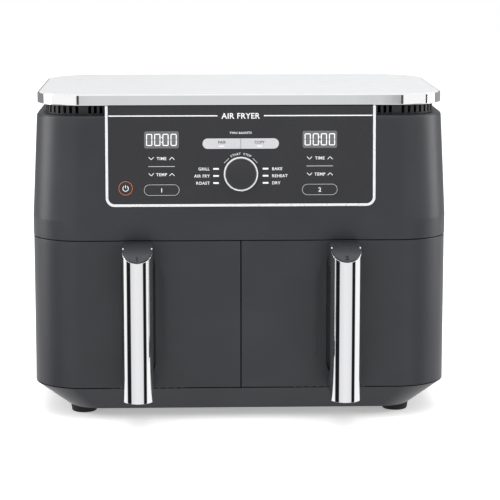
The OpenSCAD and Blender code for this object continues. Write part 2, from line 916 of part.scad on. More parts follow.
module heater(side) {
    gap_angle = 2 * asin(terminal_x / heater_r);
    inner_r = heater_r - inner_turn;
    color("#77787a") on_side(side) translate([bay_x, fan_y, heater_z]) {
        rotate([0, 0, 90 + gap_angle / 2]) rotate_extrude(angle = 360 - gap_angle) {
            translate([heater_r, 0]) circle(heater_tube_r);
        }
        rotate([0, 0, 270 + inner_gap]) rotate_extrude(angle = 360 - 2 * inner_gap) {
            translate([inner_r, 0]) circle(heater_tube_r);
        }
        // Links from the inner turn to the outer turn, with a collar at each inner end
        for (a = [270 + inner_gap, 270 - inner_gap]) {
            rotate([0, 0, a]) translate([inner_r, 0, 0]) {
                rotate([0, 90, 0]) cylinder(h = heater_r - inner_r, r = heater_tube_r - 0.5);
                translate([0, 0, -collar_r]) cylinder(h = 2 * collar_r, r = collar_r);
            }
        }
        // Terminals that rise through the chamber roof
        for (a = [90 - gap_angle / 2, 90 + gap_angle / 2]) {
            rotate([0, 0, a]) translate([heater_r, 0, 0]) {
                translate([0, 0, -collar_r]) cylinder(h = 2 * collar_r, r = collar_r);
                cylinder(h = chamber_top + 7 - heater_z, r = heater_tube_r - 0.2);
            }
        }
    }
}

guard_inner = 14;
guard_outer = heater_r + 8;
guard_rings = 6;
guard_post_r = 1.8;

module heater_guards() {
    ring_step = (guard_outer - guard_inner) / (guard_rings - 1);
    color("#c3c5c7") for (side = [-1, 1]) on_side(side) translate([bay_x, fan_y, guard_z]) {
        for (i = [0 : guard_rings - 1]) {
            rotate_extrude() translate([guard_inner + i * ring_step - guard_wire_r, -guard_wire_r]) {
                square(2 * guard_wire_r);
            }
        }
        // Spokes under the rings
        for (a = [0 : 45 : 315]) {
            rotate([0, 0, a]) translate([guard_inner, 0, -guard_wire_r]) {
                rotate([0, 90, 0]) cylinder(h = guard_outer - guard_inner, r = guard_wire_r);
            }
        }
        // Posts up to the chamber roof
        for (a = [45 : 90 : 315]) {
            rotate([0, 0, a]) translate([guard_outer - guard_wire_r, 0, 0]) {
                cylinder(h = roof_bottom - guard_z, r = guard_post_r);
            }
        }
    }
}

motor_band = 12;
motor_lug_l = 14;
motor_lug_w = 10;
motor_lug_t = 3;
motor_post_r = 3;

module motors() {
    color("#8f9295") for (side = [-1, 1]) on_side(side) translate([bay_x, fan_y, 0]) {
        translate([0, 0, motor_bottom]) difference() {
            union() {
                cylinder(h = motor_h, r = motor_r);
                translate([0, 0, (motor_h - motor_band) / 2]) linear_extrude(motor_band) {
                    square(2 * motor_r, center = true);
                }
                for (a = [45 : 90 : 315]) {
                    rotate([0, 0, a]) translate([motor_r - 2, -motor_lug_w / 2, 0]) {
                        cube([motor_lug_l, motor_lug_w, motor_lug_t]);
                    }
                }
            }
            translate([0, 0, -cut]) cylinder(h = motor_h + 2 * cut, r = shaft_r + run_fit);
        }
        for (a = [45 : 90 : 315]) {
            rotate([0, 0, a]) translate([motor_r + motor_lug_l / 2, 0, chamber_top]) {
                cylinder(h = motor_bottom - chamber_top, r = motor_post_r);
            }
        }
    }
}

blade_t = 1.2;
fan_disc_t = 1;

// A hub with a disc and radial blades about the fan's axis
module fan_wheel(r, h, blades, pitch_angle) {
    difference() {
        union() {
            cylinder(h = h, r = hub_r);
            translate([0, 0, h - fan_disc_t]) cylinder(h = fan_disc_t, r = r * 0.885);
            for (i = [0 : blades - 1]) {
                rotate([0, 0, i * 360 / blades]) translate([hub_r - 1, 0, 0]) rotate([0, 0, pitch_angle]) {
                    cube([r - hub_r - 2, blade_t, h]);
                }
            }
        }
        translate([0, 0, -cut]) cylinder(h = h + 2 * cut, r = shaft_r);
    }
}

module convection_fan(side) {
    color("#a9abad") on_side(side) translate([bay_x, fan_y, fan_bottom]) {
        fan_wheel(fan_r, blade_h, fan_blades, 20);
    }
}

module cooling_fan(side) {
    color("#3a3b3d") on_side(side) translate([bay_x, fan_y, cooling_bottom]) {
        fan_wheel(cooling_fan_r, cooling_h, cooling_blades, -25);
    }
}

module fan_shaft(side) {
    color("#c9cacb") on_side(side) translate([bay_x, fan_y, fan_bottom - 3]) {
        cylinder(h = cooling_bottom + cooling_h + 3 - fan_bottom + 3, r = shaft_r);
    }
}

power_board_y = chamber_back + 18;

power_board_w = 150;
power_board_h = 84;
power_board_z = drawer_bottom + 14;
power_post_inset = 6;
power_post_r = 3;
relay_x = [-50, -20, 15];
relay_size = [22, 12, 24];
relay_rise = 12;
capacitor_x = [-40, -5, 30];
capacitor_r = 8;
capacitor_h = 13;
capacitor_rise = 60;

module power_board() {
    back = power_board_y + board_t;
    color("#2c5f3f") {
        span([-power_board_w / 2, power_board_y, power_board_z],
            [power_board_w / 2, back, power_board_z + power_board_h]);
        for (sx = [-1, 1], z = [power_post_inset, power_board_h - power_post_inset]) {
            translate([sx * (power_board_w / 2 - power_post_inset), back, power_board_z + z]) along_y() {
                cylinder(h = rear_y - wall - back, r = power_post_r);
            }
        }
        for (x = relay_x) {
            translate([x, power_board_y - relay_size[1], power_board_z + relay_rise]) cube(relay_size);
        }
        for (x = capacitor_x) {
            translate([x, power_board_y - capacitor_h, power_board_z + capacitor_rise]) along_y() {
                cylinder(h = capacitor_h, r = capacitor_r);
            }
        }
    }
}

probe_back = 26;
probe_l = 40;
probe_flange_t = 2;
probe_flange = 3;

module temperature_probes() {
    color("#cfd0d2") for (side = [-1, 1]) on_side(side) translate([probe_x, chamber_back, probe_z]) {
        translate([0, -probe_back, 0]) along_y() cylinder(h = probe_l, r = probe_r);
        along_y() cylinder(h = probe_flange_t, r = probe_r + probe_flange);
    }
}

switch_body = [20, 8, 10];
guide_w = 8;
guide_x = [bay_in + 40, bay_out - 48];
guide_end = 12;

module drawer_switches() {
    color("#26272a") for (side = [-1, 1]) on_side(side) translate([switch_x, 0, switch_z]) {
        translate([0, basket_back + basket_rim + seam, 0]) along_y() {
            cylinder(h = chamber_back - basket_back - basket_rim, r = plunger_r);
        }
        span([-switch_body[0] / 2, chamber_back, -switch_body[2] / 2],
            [switch_body[0] / 2, chamber_back + switch_body[1], switch_body[2] / 2]);
    }
}

module drawer_guides() {
    color("#1f1f21") for (side = [-1, 1]) on_side(side) {
        for (x = guide_x) {
            span([x, chamber_front + guide_end / 2, chamber_floor + sheet_t],
                [x + guide_w, basket_back - guide_end, basket_bottom - 0.4]);
        }
    }
}

module case_screws() {
    color("#b5b7b9") {
        at_divider_screws() case_screw();
        at_rear_screws() case_screw();
    }
}

// One case screw, head down, with its shank in the posts of the base and the housing
module case_screw() {
    translate([0, 0, base_top - screw_seat_t - screw_head_h]) {
        cylinder(h = screw_head_h, r = screw_pocket_r - 0.7);
    }
    translate([0, 0, base_top - screw_seat_t]) cylinder(h = screw_depth, r = screw_r - run_fit);
}

// Outline of one drawer front and what lies behind it, moved inwards by a wall
module drawer_outline(inset) {
    intersection() {
        outline(seam / 2 + inset);
        translate([seam / 2 + inset, front_y]) square([half_w, wrap_d]);
    }
}

// The finger recess, drawn from the front and pushed in along +Y
module recess_shape(grow) {
    r = recess_half + grow;
    low = recess_low - grow + r;
    high = recess_high + grow - r;
    translate([handle_x - r, low]) square([2 * r, high - low]);
    translate([handle_x, low]) circle(r);
    translate([handle_x, high]) circle(r);
}

// Pushes a front-view outline in from the drawer front's plane by a depth
module push_in(depth, start = 0) {
    translate([0, front_y + start + depth, 0]) rotate([90, 0, 0]) linear_extrude(depth) children();
}

boss_r = 5.5;
boss_bore = 2.1;

// Places something at both handle screws, with z pointing into the drawer
module at_handle_screws() {
    for (z = [screw_low, screw_high]) {
        translate([handle_x, 0, z]) along_y() children();
    }
}

module drawer_front(side) {
    color("#3d3e42") on_side(side) difference() {
        union() {
            difference() {
                translate([0, 0, drawer_bottom]) linear_extrude(drawer_h) drawer_outline(0);
                translate([0, 0, drawer_bottom + wall]) linear_extrude(drawer_h - 2 * wall) {
                    drawer_outline(wall);
                }
                translate([0, 0, drawer_bottom - cut]) linear_extrude(drawer_h + 2 * cut) intersection() {
                    outline(seam / 2 + wall);
                    translate([seam / 2 - cut, drawer_back]) square([half_w, wrap_d]);
                }
            }
            push_in(recess_d + wall - front_gap, front_gap) recess_shape(wall);
            at_handle_screws() translate([0, 0, front_y + front_gap]) {
                cylinder(h = drawer_t - liner_t - 0.1 - front_gap, r = boss_r);
            }
        }
        push_in(recess_d + cut, -cut) recess_shape(0);
        at_handle_screws() translate([0, 0, front_y - cut]) cylinder(h = drawer_t + 2 * cut, r = boss_bore);
    }
}

liner_t = 2.4;
front_gap = 0.5;

module drawer_liner(side) {
    color("#333437") on_side(side) difference() {
        translate([0, 0, drawer_bottom + wall + fit]) linear_extrude(drawer_h - 2 * wall - 2 * fit) {
            intersection() {
                drawer_outline(wall + fit);
                translate([0, drawer_back - liner_t]) square([half_w, liner_t]);
            }
        }
        at_handle_screws() translate([0, 0, front_y]) cylinder(h = drawer_t + cut, r = boss_bore);
        at_handle_screws() translate([0, 0, drawer_back - 1.6]) cylinder(h = 1.6 + cut, r = 4);
    }
}

module handle_screws(side) {
    color("#b5b7b9") on_side(side) at_handle_screws() {
        translate([0, 0, front_y - 12]) cylinder(h = drawer_t + 12 - 1.6, r = boss_bore - 0.2);
        translate([0, 0, drawer_back - 1.6]) cylinder(h = 1.5, r = 3.8);
    }
}

// Plan outline of the handle: half round at the front and straight to the drawer, moved inwards
module handle_plan(inset) {
    r = handle_half - inset;
    translate([handle_x, handle_front + handle_half]) circle(r);
    translate([handle_x - r, handle_front + handle_half]) square([2 * r, handle_reach - handle_half]);
}

// Everything above the sloping cut across the top of the bright cover
module above_cut(shift) {
    translate([handle_x - handle_w, handle_front, cover_peak + shift]) rotate([nose_slope, 0, 0]) {
        translate([0, -handle_reach, 0]) cube([2 * handle_w, 3 * handle_reach, handle_reach]);
    }
}

// The handle's side outline in y and z, drawn by x = y
module handle_side(low) {
    translate([nose_y, low]) square([front_y - nose_y, cap_top - low]);
    translate([handle_front - cut, low]) square([nose_y - handle_front + 2 * cut, cap_top - nose_r - low]);
    translate([nose_y, cap_top - nose_r]) circle(nose_r);
}

// Pushes a side view across the handle's width
module across_handle() {
    translate([handle_x - handle_w, 0, 0]) rotate([90, 0, 90]) linear_extrude(2 * handle_w) children();
}

finger_r = 9;

module handle_core(side) {
    color("#303134") on_side(side) difference() {
        intersection() {
            translate([0, 0, core_bottom]) linear_extrude(cap_top - core_bottom) handle_plan(0);
            across_handle() handle_side(core_bottom);
        }
        // Room for the bright cover
        difference() {
            translate([0, 0, core_bottom - cut]) linear_extrude(drawer_h) difference() {
                translate([handle_x - handle_w, handle_front - cut]) square([2 * handle_w, grip_t - 2 + cut]);
                handle_plan(cover_t + fit);
            }
            above_cut(0);
        }
        // Finger gap
        across_handle() {
            low = core_bottom + mount_h;
            high = cap_top - mount_h - 6;
            depth = front_y - grip_back + cut;
            translate([grip_back, low + finger_r]) square([depth, high - low - 2 * finger_r]);
            translate([grip_back + finger_r, low]) square([depth - finger_r, high - low]);
            for (z = [low + finger_r, high - finger_r]) {
                translate([grip_back + finger_r, z]) circle(finger_r);
            }
        }
        at_handle_screws() translate([0, 0, front_y - 14]) cylinder(h = 14 + cut, r = boss_bore - 0.1);
    }
}

module handle_cover(side) {
    color("#e6e6e8") on_side(side) difference() {
        translate([0, 0, handle_bottom]) linear_extrude(cap_top - handle_bottom) intersection() {
            handle_plan(0);
            translate([handle_x - handle_w, handle_front]) square([2 * handle_w, grip_t - 2 - fit]);
        }
        translate([0, 0, core_bottom - fit]) linear_extrude(cap_top) intersection() {
            handle_plan(cover_t);
            translate([handle_x - handle_w, handle_front]) square([2 * handle_w, grip_t]);
        }
        above_cut(-0.5);
    }
}

// Outline of the basket about its own centre, moved inwards by a wall
module basket_outline(inset) {
    translate([bay_x, (basket_front + basket_back) / 2]) {
        round_rect(basket_w - 2 * inset, basket_d - 2 * inset, basket_r - inset);
    }
}

module basket(side) {
    rim_h = 2.4;
    color("#2d2d2f") on_side(side) difference() {
        union() {
            translate([0, 0, basket_bottom]) linear_extrude(basket_h) basket_outline(0);
            translate([0, 0, basket_top - rim_h]) linear_extrude(rim_h) intersection() {
                basket_outline(-basket_rim);
                translate([0, basket_front]) square([half_w, body_d]);
            }
        }
        translate([0, 0, basket_bottom + basket_t]) linear_extrude(basket_h) basket_outline(basket_t);
    }
}

hole_pitch = 15;
hole_r = 3.6;

module crisper_plate(side) {
    nx = floor((plate_w / 2 - 16) / hole_pitch);
    ny = floor((plate_d / 2 - 16) / hole_pitch);
    color("#3a3a3c") on_side(side) translate([bay_x, fan_y, plate_z]) {
        linear_extrude(plate_t) difference() {
            round_rect(plate_w, plate_d, plate_r);
            for (i = [-nx : nx], j = [-ny : ny]) {
                if (abs(i) + abs(j) > 0) translate([i * hole_pitch, j * hole_pitch]) circle(hole_r, $fn = 24);
            }
            for (sx = [-1, 1], sy = [-1, 1]) bumper_place(sx, sy) circle(bumper_r - 1.2, $fn = 32);
        }
    }
}

bumper_r = 4.4;

// Moves something to one of the crisper plate's corners
module bumper_place(sx, sy) {
    reach = plate_r * (1 - sqrt(0.5)) + (bumper_r + plate_gap - 2.4) * sqrt(0.5);
    translate([sx * (plate_w / 2 - reach), sy * (plate_d / 2 - reach)]) children();
}

module crisper_bumpers(side) {
    low = plate_z - (bumper_h - plate_t) + 2.4;
    color("#1e1e20") on_side(side) translate([bay_x, fan_y, 0]) {
        for (sx = [-1, 1], sy = [-1, 1]) bumper_place(sx, sy) {
            translate([0, 0, low]) cylinder(h = plate_z - low, r = bumper_r);
            translate([0, 0, plate_z - skin]) cylinder(h = plate_t + 2 * skin, r = bumper_r - 1.2 - skin);
            translate([0, 0, plate_z + plate_t]) cylinder(h = 2.2, r1 = bumper_r, r2 = bumper_r - 1);
        }
    }
}

base_tray();
feet();
lower_housing();
front_frame();
bay_divider();
chamber_deck();
upper_housing();
vent_neck();
top_cover();
top_trim();
control_bezel();
control_panel();
control_board();
dial_encoder();
display_modules();
display_windows();
rear_grille();
cord_gland();
rear_spacers();
chamber(-1);  // chamber_left
chamber(1);  // chamber_right
heater(-1);  // heater_left
heater(1);  // heater_right
heater_guards();
motors();
convection_fan(-1);  // convection_fan_left
convection_fan(1);  // convection_fan_right
fan_shaft(-1);  // fan_shaft_left
fan_shaft(1);  // fan_shaft_right
cooling_fan(-1);  // cooling_fan_left
cooling_fan(1);  // cooling_fan_right
power_board();
temperature_probes();
case_screws();
drawer_guides();
drawer_switches();
drawer_front(-1);  // drawer_front_left
drawer_front(1);  // drawer_front_right
drawer_liner(-1);  // drawer_liner_left
drawer_liner(1);  // drawer_liner_right
basket(-1);  // basket_left
basket(1);  // basket_right
handle_core(-1);  // handle_core_left
handle_core(1);  // handle_core_right
handle_cover(-1);  // handle_cover_left
handle_cover(1);  // handle_cover_right
handle_screws(-1);  // handle_screws_left
handle_screws(1);  // handle_screws_right
crisper_plate(-1);  // crisper_plate_left
crisper_plate(1);  // crisper_plate_right
crisper_bumpers(-1);  // crisper_bumpers_left
crisper_bumpers(1);  // crisper_bumpers_right
dial_knob();
dial_ring();
encoder_plunger();
power_key();
zone_key(-1);  // zone_1_key
zone_key(1);  // zone_2_key
pair_key(-1);  // sync_key
pair_key(1);  // match_key
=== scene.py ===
"""Looks for a countertop air fryer with two pull-out drawers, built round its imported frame.

Every length is in metres in the row frame: +Z up, the drawers and the control panel face -Y.
"""

import json
import logging
import math
from collections.abc import Callable, Iterable, Sequence
from dataclasses import dataclass
from enum import Enum

import bmesh
import bpy
from mathutils import Matrix, Vector


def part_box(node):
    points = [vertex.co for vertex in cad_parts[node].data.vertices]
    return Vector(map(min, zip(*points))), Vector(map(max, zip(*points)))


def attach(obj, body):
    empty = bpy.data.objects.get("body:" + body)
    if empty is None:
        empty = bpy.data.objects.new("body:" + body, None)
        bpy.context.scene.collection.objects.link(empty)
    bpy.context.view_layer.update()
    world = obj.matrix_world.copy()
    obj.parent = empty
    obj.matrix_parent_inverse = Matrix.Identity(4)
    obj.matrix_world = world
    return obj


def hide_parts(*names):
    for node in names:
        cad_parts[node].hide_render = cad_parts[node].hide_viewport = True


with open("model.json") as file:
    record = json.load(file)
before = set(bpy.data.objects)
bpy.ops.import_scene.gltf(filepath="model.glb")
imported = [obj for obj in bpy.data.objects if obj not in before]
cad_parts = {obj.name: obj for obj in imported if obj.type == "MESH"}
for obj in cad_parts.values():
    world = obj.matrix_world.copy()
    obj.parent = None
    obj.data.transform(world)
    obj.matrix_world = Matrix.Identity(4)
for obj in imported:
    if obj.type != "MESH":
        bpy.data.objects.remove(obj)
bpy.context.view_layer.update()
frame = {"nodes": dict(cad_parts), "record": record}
LOG = logging.getLogger("air_fryer")
MM = 0.001
# Corners nearer than this are merged
MERGE = 1e-7
# Corners this near to a plane are on it
NEAR = 1e-5
# Edges that turn by more than this are rounded
SHARP_DEG = 40.0


# ---------------------------------------------------------------- colour and node helpers


def srgb(code: str) -> tuple[float, float, float, float]:
    """Turns an sRGB hex colour into linear values.

    Args:
        code: six hex digits, such as "3d3e42".

    Returns:
        Linear red, green and blue, and an alpha of 1.
    """
    channels = [int(code[i : i + 2], 16) / 255 for i in (0, 2, 4)]
    linear = [c / 12.92 if c <= 0.04045 else ((c + 0.055) / 1.055) ** 2.4 for c in channels]
    return (*linear, 1.0)


def add_node(
    tree: bpy.types.NodeTree,
    kind: str,
    values: dict[str | int, object] | None = None,
    links: dict[str | int, bpy.types.NodeSocket] | None = None,
    stops: Sequence[tuple[float, str]] = (),
    **settings: object,
) -> bpy.types.Node:
    """Adds one node with its settings, socket values, incoming links and colour stops.

    Args:
        tree: the node tree to add to.
        kind: the node's type name.
        values: input socket name or number to its value.
        links: input socket name or number to the output that feeds it.
        stops: (position, hex colour) from low to high, for a colour ramp.
        settings: the node's own properties.

    Returns:
        The new node.
    """
    node = tree.nodes.new(kind)
    for name, value in settings.items():
        setattr(node, name, value)
    for key, value in (values or {}).items():
        node.inputs[key].default_value = value
    for key, source in (links or {}).items():
        tree.links.new(source, node.inputs[key])
    if stops:
        elements = node.color_ramp.elements
        while len(elements) < len(stops):
            elements.new(1.0)
        for element, (position, code) in zip(elements, stops):
            element.position = position
            element.color = srgb(code)
    return node


def noise(
    tree: bpy.types.NodeTree, size: float, detail: float = 2.0, stretch: Sequence[float] = (1, 1, 1)
) -> bpy.types.NodeSocket:
    """Adds noise on Object coordinates whose blobs are about one size across.

    Args:
        tree: the node tree to add to.
        size: width of one blob, in metres.
        detail: octaves of finer noise.
        stretch: how much longer the blobs are along each axis.

    Returns:
        The noise value, about 0 to 1.
    """
    place = add_node(tree, "ShaderNodeTexCoord").outputs["Object"]
    scale = tuple(1 / s for s in stretch)
    mapping = add_node(tree, "ShaderNodeMapping", values={"Scale": scale}, links={"Vector": place})
    values = {"Scale": 1 / size, "Detail": detail, "Roughness": 0.55}
    cloud = add_node(tree, "ShaderNodeTexNoise", values=values, links={"Vector": mapping.outputs[0]})
    return cloud.outputs["Fac"]


def cells(tree: bpy.types.NodeTree, size: float, **settings: object) -> bpy.types.Node:
    """Adds cells on Object coordinates that lie about one size apart.

    Args:
        tree: the node tree to add to.
        size: spacing of the cells, in metres.
        settings: the cell texture's own properties.

    Returns:
        The texture node.
    """
    place = add_node(tree, "ShaderNodeTexCoord").outputs["Object"]
    values = {"Scale": 1 / size}
    return add_node(tree, "ShaderNodeTexVoronoi", values=values, links={"Vector": place}, **settings)


# ---------------------------------------------------------------- finishes


@dataclass(frozen=True)
class Finish:
    """A material: what it is made of and how its surface was made.

    Attributes:
        name: the material's name.
        slot: the record's material slot that it stands for.
        colour: base colour, sRGB hex.
        roughness: how matt the surface is.
        ior: index of refraction.
        metallic: 0 for a dielectric, 1 for bare metal.
        glow: light given off.
        glow_colour: its colour, or "" for the base colour.
    """

    name: str
    slot: str
    colour: str
    roughness: float = 0.5
    ior: float = 1.5
    metallic: float = 0.0
    glow: float = 0.0
    glow_colour: str = ""

    def build(self) -> bpy.types.Material:
        """Makes the Blender material, once for each finish.

        Returns:
            The material.
        """
        known = bpy.data.materials.get(self.name)
        if known is not None:
            return known
        material = bpy.data.materials.new(self.name)
        material.use_nodes = True
        inputs = material.node_tree.nodes["Principled BSDF"].inputs
        inputs["Base Color"].default_value = srgb(self.colour)
        inputs["Roughness"].default_value = self.roughness
        inputs["IOR"].default_value = self.ior
        inputs["Metallic"].default_value = self.metallic
        if self.glow > 0:
            inputs["Emission Color"].default_value = srgb(self.glow_colour or self.colour)
            inputs["Emission Strength"].default_value = self.glow
        self.dress(material.node_tree)
        return material

    def dress(self, tree: bpy.types.NodeTree) -> None:
        """Adds the pattern of the surface; the plain finish has none."""

    def wire(
        self,
        tree: bpy.types.NodeTree,
        colour: tuple[bpy.types.NodeSocket, Sequence[tuple[float, str]]] | None = None,
        gloss: tuple[bpy.types.NodeSocket, float, float] | None = None,
        relief: tuple[bpy.types.NodeSocket, float, float] | None = None,
    ) -> None:
        """Feeds patterns into the shader.

        Args:
            tree: the material's node tree.
            colour: a factor and the colour stops that it runs through.
            gloss: a noise, and how much less and more rough its lows and highs are.
            relief: a height, how deep 1 stands for in metres, and how much of it shows.
        """
        feeds = {}
        if colour is not None:
            feeds["Base Color"] = add_node(tree, "ShaderNodeValToRGB", links={0: colour[0]}, stops=colour[1])
        if gloss is not None:
            low, high = self.roughness - gloss[1], self.roughness + gloss[2]
            # Most of a noise lies between 0.3 and 0.7
            values = {"From Min": 0.3, "From Max": 0.7, "To Min": low, "To Max": high}
            feeds["Roughness"] = add_node(tree, "ShaderNodeMapRange", values=values, links={0: gloss[0]})
        if relief is not None:
            values = {"Distance": relief[1], "Strength": relief[2]}
            feeds["Normal"] = add_node(tree, "ShaderNodeBump", values=values, links={"Height": relief[0]})
        for name, node in feeds.items():
            tree.links.new(node.outputs[0], tree.nodes["Principled BSDF"].inputs[name])


@dataclass(frozen=True)
class MouldedPlastic(Finish):
    """Injection-moulded plastic with a spark-eroded texture: a fine even grain and faint clouds.

    Attributes:
        cloud_colour: colour that the faint large clouds run towards.
        cloud: width of one cloud, in metres.
        grain: width of one grain of the texture, in metres.
        grain_depth: depth of the texture, in metres.
    """

    cloud_colour: str = "2b2c30"
    cloud: float = 60 * MM
    grain: float = 0.7 * MM
    grain_depth: float = 0.05 * MM

    def dress(self, tree: bpy.types.NodeTree) -> None:
        """Adds cloudy colour, uneven gloss and the grain."""
        grain = noise(tree, self.grain, 1)
        clouds = noise(tree, self.cloud, 3), [(0.35, self.colour), (0.65, self.cloud_colour)]
        self.wire(tree, clouds, (grain, 0.05, 0.05), (grain, self.grain_depth, 0.35))


@dataclass(frozen=True)
class PlatedMetal(Finish):
    """Bright electroplate: a clear mirror with faint wipe marks and orange peel.

    Attributes:
        wipe: width of one upright wipe mark, in metres.
        peel: width of one ripple of the orange peel, in metres.
        peel_depth: depth of the ripples, in metres.
    """

    wipe: float = 12 * MM
    peel: float = 9 * MM
    peel_depth: float = 0.012 * MM

    def dress(self, tree: bpy.types.NodeTree) -> None:
        """Adds wipe marks in the gloss and the ripples."""
        wipe = noise(tree, self.wipe, 3, (1, 1, 5))
        self.wire(tree, None, (wipe, 0.02, 0.03), (noise(tree, self.peel, 1), self.peel_depth, 0.25))


@dataclass(frozen=True)
class MetallicPaint(Finish):
    """Satin silver paint: tiny flakes that catch the light one by one.

    Attributes:
        shade: the darker colour between the flakes.
        flake: width of one flake, drawn a little coarse so that it shows, in metres.
        sag: width of one patch of uneven gloss, in metres.
    """

    shade: str = "b9bbbf"
    flake: float = 0.35 * MM
    sag: float = 4 * MM

    def dress(self, tree: bpy.types.NodeTree) -> None:
        """Adds the flakes to the colour, and patches to the gloss."""
        flakes = cells(tree, self.flake).outputs["Color"]
        grey = add_node(tree, "ShaderNodeRGBToBW", links={0: flakes}).outputs[0]
        self.wire(tree, (grey, [(0.0, self.shade), (0.8, self.colour)]), (noise(tree, self.sag), 0.04, 0.04))


@dataclass(frozen=True)
class RolledSteel(Finish):
    """Cold-rolled or brushed steel: long fine lines along the rolling direction.

    Attributes:
        shade: colour of the lines.
        line: width of one line, in metres.
        line_depth: depth of the lines, in metres.
        along: how much longer the lines are on each axis.
    """

    shade: str = "8d8f92"
    line: float = 0.4 * MM
    line_depth: float = 0.01 * MM
    along: tuple[float, float, float] = (40, 1, 1)

    def dress(self, tree: bpy.types.NodeTree) -> None:
        """Adds the lines to colour, gloss and relief."""
        lines = noise(tree, self.line, 2, self.along)
        stops = [(0.3, self.shade), (0.7, self.colour)]
        self.wire(tree, (lines, stops), (lines, 0.07, 0.07), (lines, self.line_depth, 0.3))


@dataclass(frozen=True)
class SpeckledCoat(Finish):
    """Sprayed coating, such as non-stick on a pan: dark, slightly pebbled, with pale mineral specks.

    Attributes:
        speck_colour: colour of the specks.
        speck: spacing of the specks, in metres.
        share: how much of each cell a speck fills.
        pebble: width of one pebble, in metres.
        pebble_depth: height of the pebbles, in metres.
    """

    speck_colour: str = "6a6b6d"
    speck: float = 2.2 * MM
    share: float = 0.16
    pebble: float = 0.8 * MM
    pebble_depth: float = 0.06 * MM

    def dress(self, tree: bpy.types.NodeTree) -> None:
        """Adds the specks and the pebbled relief."""
        pebbles = noise(tree, self.pebble, 2)
        specks = cells(tree, self.speck).outputs["Distance"]
        stops = [(self.share * 0.6, self.speck_colour), (self.share, self.colour)]
        self.wire(tree, (specks, stops), (pebbles, 0.08, 0.08), (pebbles, self.pebble_depth, 0.4))


@dataclass(frozen=True)
class HeatTint(Finish):
    """Steel-sheathed heating tube after use: straw, brown and blue oxide patches over grey.

    Attributes:
        patch: width of one patch, in metres.
        scale: width of one flake of scale, in metres.
        scale_depth: depth of the scale, in metres.
    """

    patch: float = 14 * MM
    scale: float = 1.2 * MM
    scale_depth: float = 0.05 * MM

    def dress(self, tree: bpy.types.NodeTree) -> None:
        """Adds the oxide colours and a scaly relief."""
        oxides = [(0.3, "6f6a66"), (0.45, "8a6f4f"), (0.55, "5b4a4e"), (0.7, "4c5666")]
        scale = noise(tree, self.scale, 3)
        self.wire(tree, (noise(tree, self.patch, 4), oxides), relief=(scale, self.scale_depth, 0.5))


@dataclass(frozen=True)
class CircuitBoard(Finish):
    """Fibreglass board under solder mask: faint tracks as slightly raised, lighter lines.

    Attributes:
        track_colour: colour over the copper tracks.
        pitch: spacing of the tracks, in metres.
        track_height: how far they stand up, in metres.
    """

    track_colour: str = "3f7a52"
    pitch: float = 3.0 * MM
    track_height: float = 0.03 * MM

    def dress(self, tree: bpy.types.NodeTree) -> None:
        """Adds the tracks to colour and relief."""
        tracks = cells(tree, self.pitch, feature="DISTANCE_TO_EDGE").outputs["Distance"]
        stops = [(0.05, self.track_colour), (0.1, self.colour)]
        self.wire(tree, (tracks, stops), relief=(tracks, self.track_height, 0.3))


@dataclass(frozen=True)
class Ink(Finish):
    """Screen-printed ink or a lit segment, with a faint mesh of the print screen.

    Attributes:
        shade: colour in the mesh's gaps.
        mesh: spacing of the print screen, in metres.
    """

    shade: str = "c9cacc"
    mesh: float = 0.3 * MM

    def dress(self, tree: bpy.types.NodeTree) -> None:
        """Adds the print screen's mesh."""
        self.wire(tree, (noise(tree, self.mesh, 1), [(0.35, self.shade), (0.6, self.colour)]))


@dataclass(frozen=True)
class Paper(Finish):
    """Matt studio paper with long fibres.

    Attributes:
        shade: colour of the fibres.
        fibre: width of one fibre, drawn coarse so that it shows, in metres.
    """

    shade: str = "f2f2f2"
    fibre: float = 1.5 * MM

    def dress(self, tree: bpy.types.NodeTree) -> None:
        """Adds the fibres."""
        fibres = noise(tree, self.fibre, 2, (3, 1, 1))
        self.wire(tree, (fibres, [(0.35, self.shade), (0.65, self.colour)]))


# Satin polypropylene housing: near black, lifted to charcoal by its soft sheen
HOUSING = MouldedPlastic("satin_moulded_polypropylene", "housing", "232428", 0.4, 1.49, cloud_colour="27282c")
# Glass-filled nylon trim: blacker and more matt than the housing
DARK_TRIM = MouldedPlastic("matt_glass_filled_nylon", "dark_trim", "1c1d1f", 0.55, 1.53, cloud_colour="212224")
# Handle core and cap: the dark trim's nylon with a finer grain, its colour painted a shade lighter to stand
# for the key light on the cap
HANDLE_CAP_PAINTED_LIGHTER = MouldedPlastic(
    "fine_moulded_nylon_painted_lighter",
    "dark_trim",
    "323337",
    0.4,
    1.53,
    cloud_colour="37383c",
    grain=0.5 * MM,
    grain_depth=0.03 * MM,
)
# Silicone rubber: dead matt black
RUBBER = MouldedPlastic(
    "moulded_silicone_rubber", "rubber", "161617", 0.8, 1.41, cloud_colour="1b1b1c", grain=0.4 * MM
)
# Chrome plate on the handles and the lid's trim: a clear mirror
CHROME = PlatedMetal("bright_chrome_plate", "chrome", "f2f2f3", 0.045, metallic=1.0)
# Lacquered top plate: pale, soft sheen, nearly white under the top light
LID = RolledSteel(
    "pale_lacquered_steel", "lid", "eceded", 0.34, metallic=0.25, shade="e2e3e4", line=0.5 * MM
)
# Silver paint on the double key
SILVER = MetallicPaint("satin_silver_paint", "silver", "c6c7c9", 0.36, metallic=0.2, shade="b6b7ba")
# Brighter lacquer on the panel's trim and the dial's ring
BRIGHT_TRIM = MetallicPaint("bright_silver_lacquer", "silver", "e2e3e5", 0.3, metallic=0.3, shade="dcdde0")
# Panel overlay: smooth dark acrylic film
PANEL = MouldedPlastic(
    "smooth_acrylic_overlay",
    "panel",
    "232326",
    0.3,
    1.49,
    cloud_colour="262629",
    grain=0.25 * MM,
    grain_depth=0.008 * MM,
)
# Smoked windows over the displays: flat mid grey with a hard gloss
WINDOW = MouldedPlastic(
    "smoked_acrylic_window",
    "window",
    "5f5f60",
    0.16,
    1.49,
    cloud_colour="646465",
    grain=0.3 * MM,
    grain_depth=0.004 * MM,
)
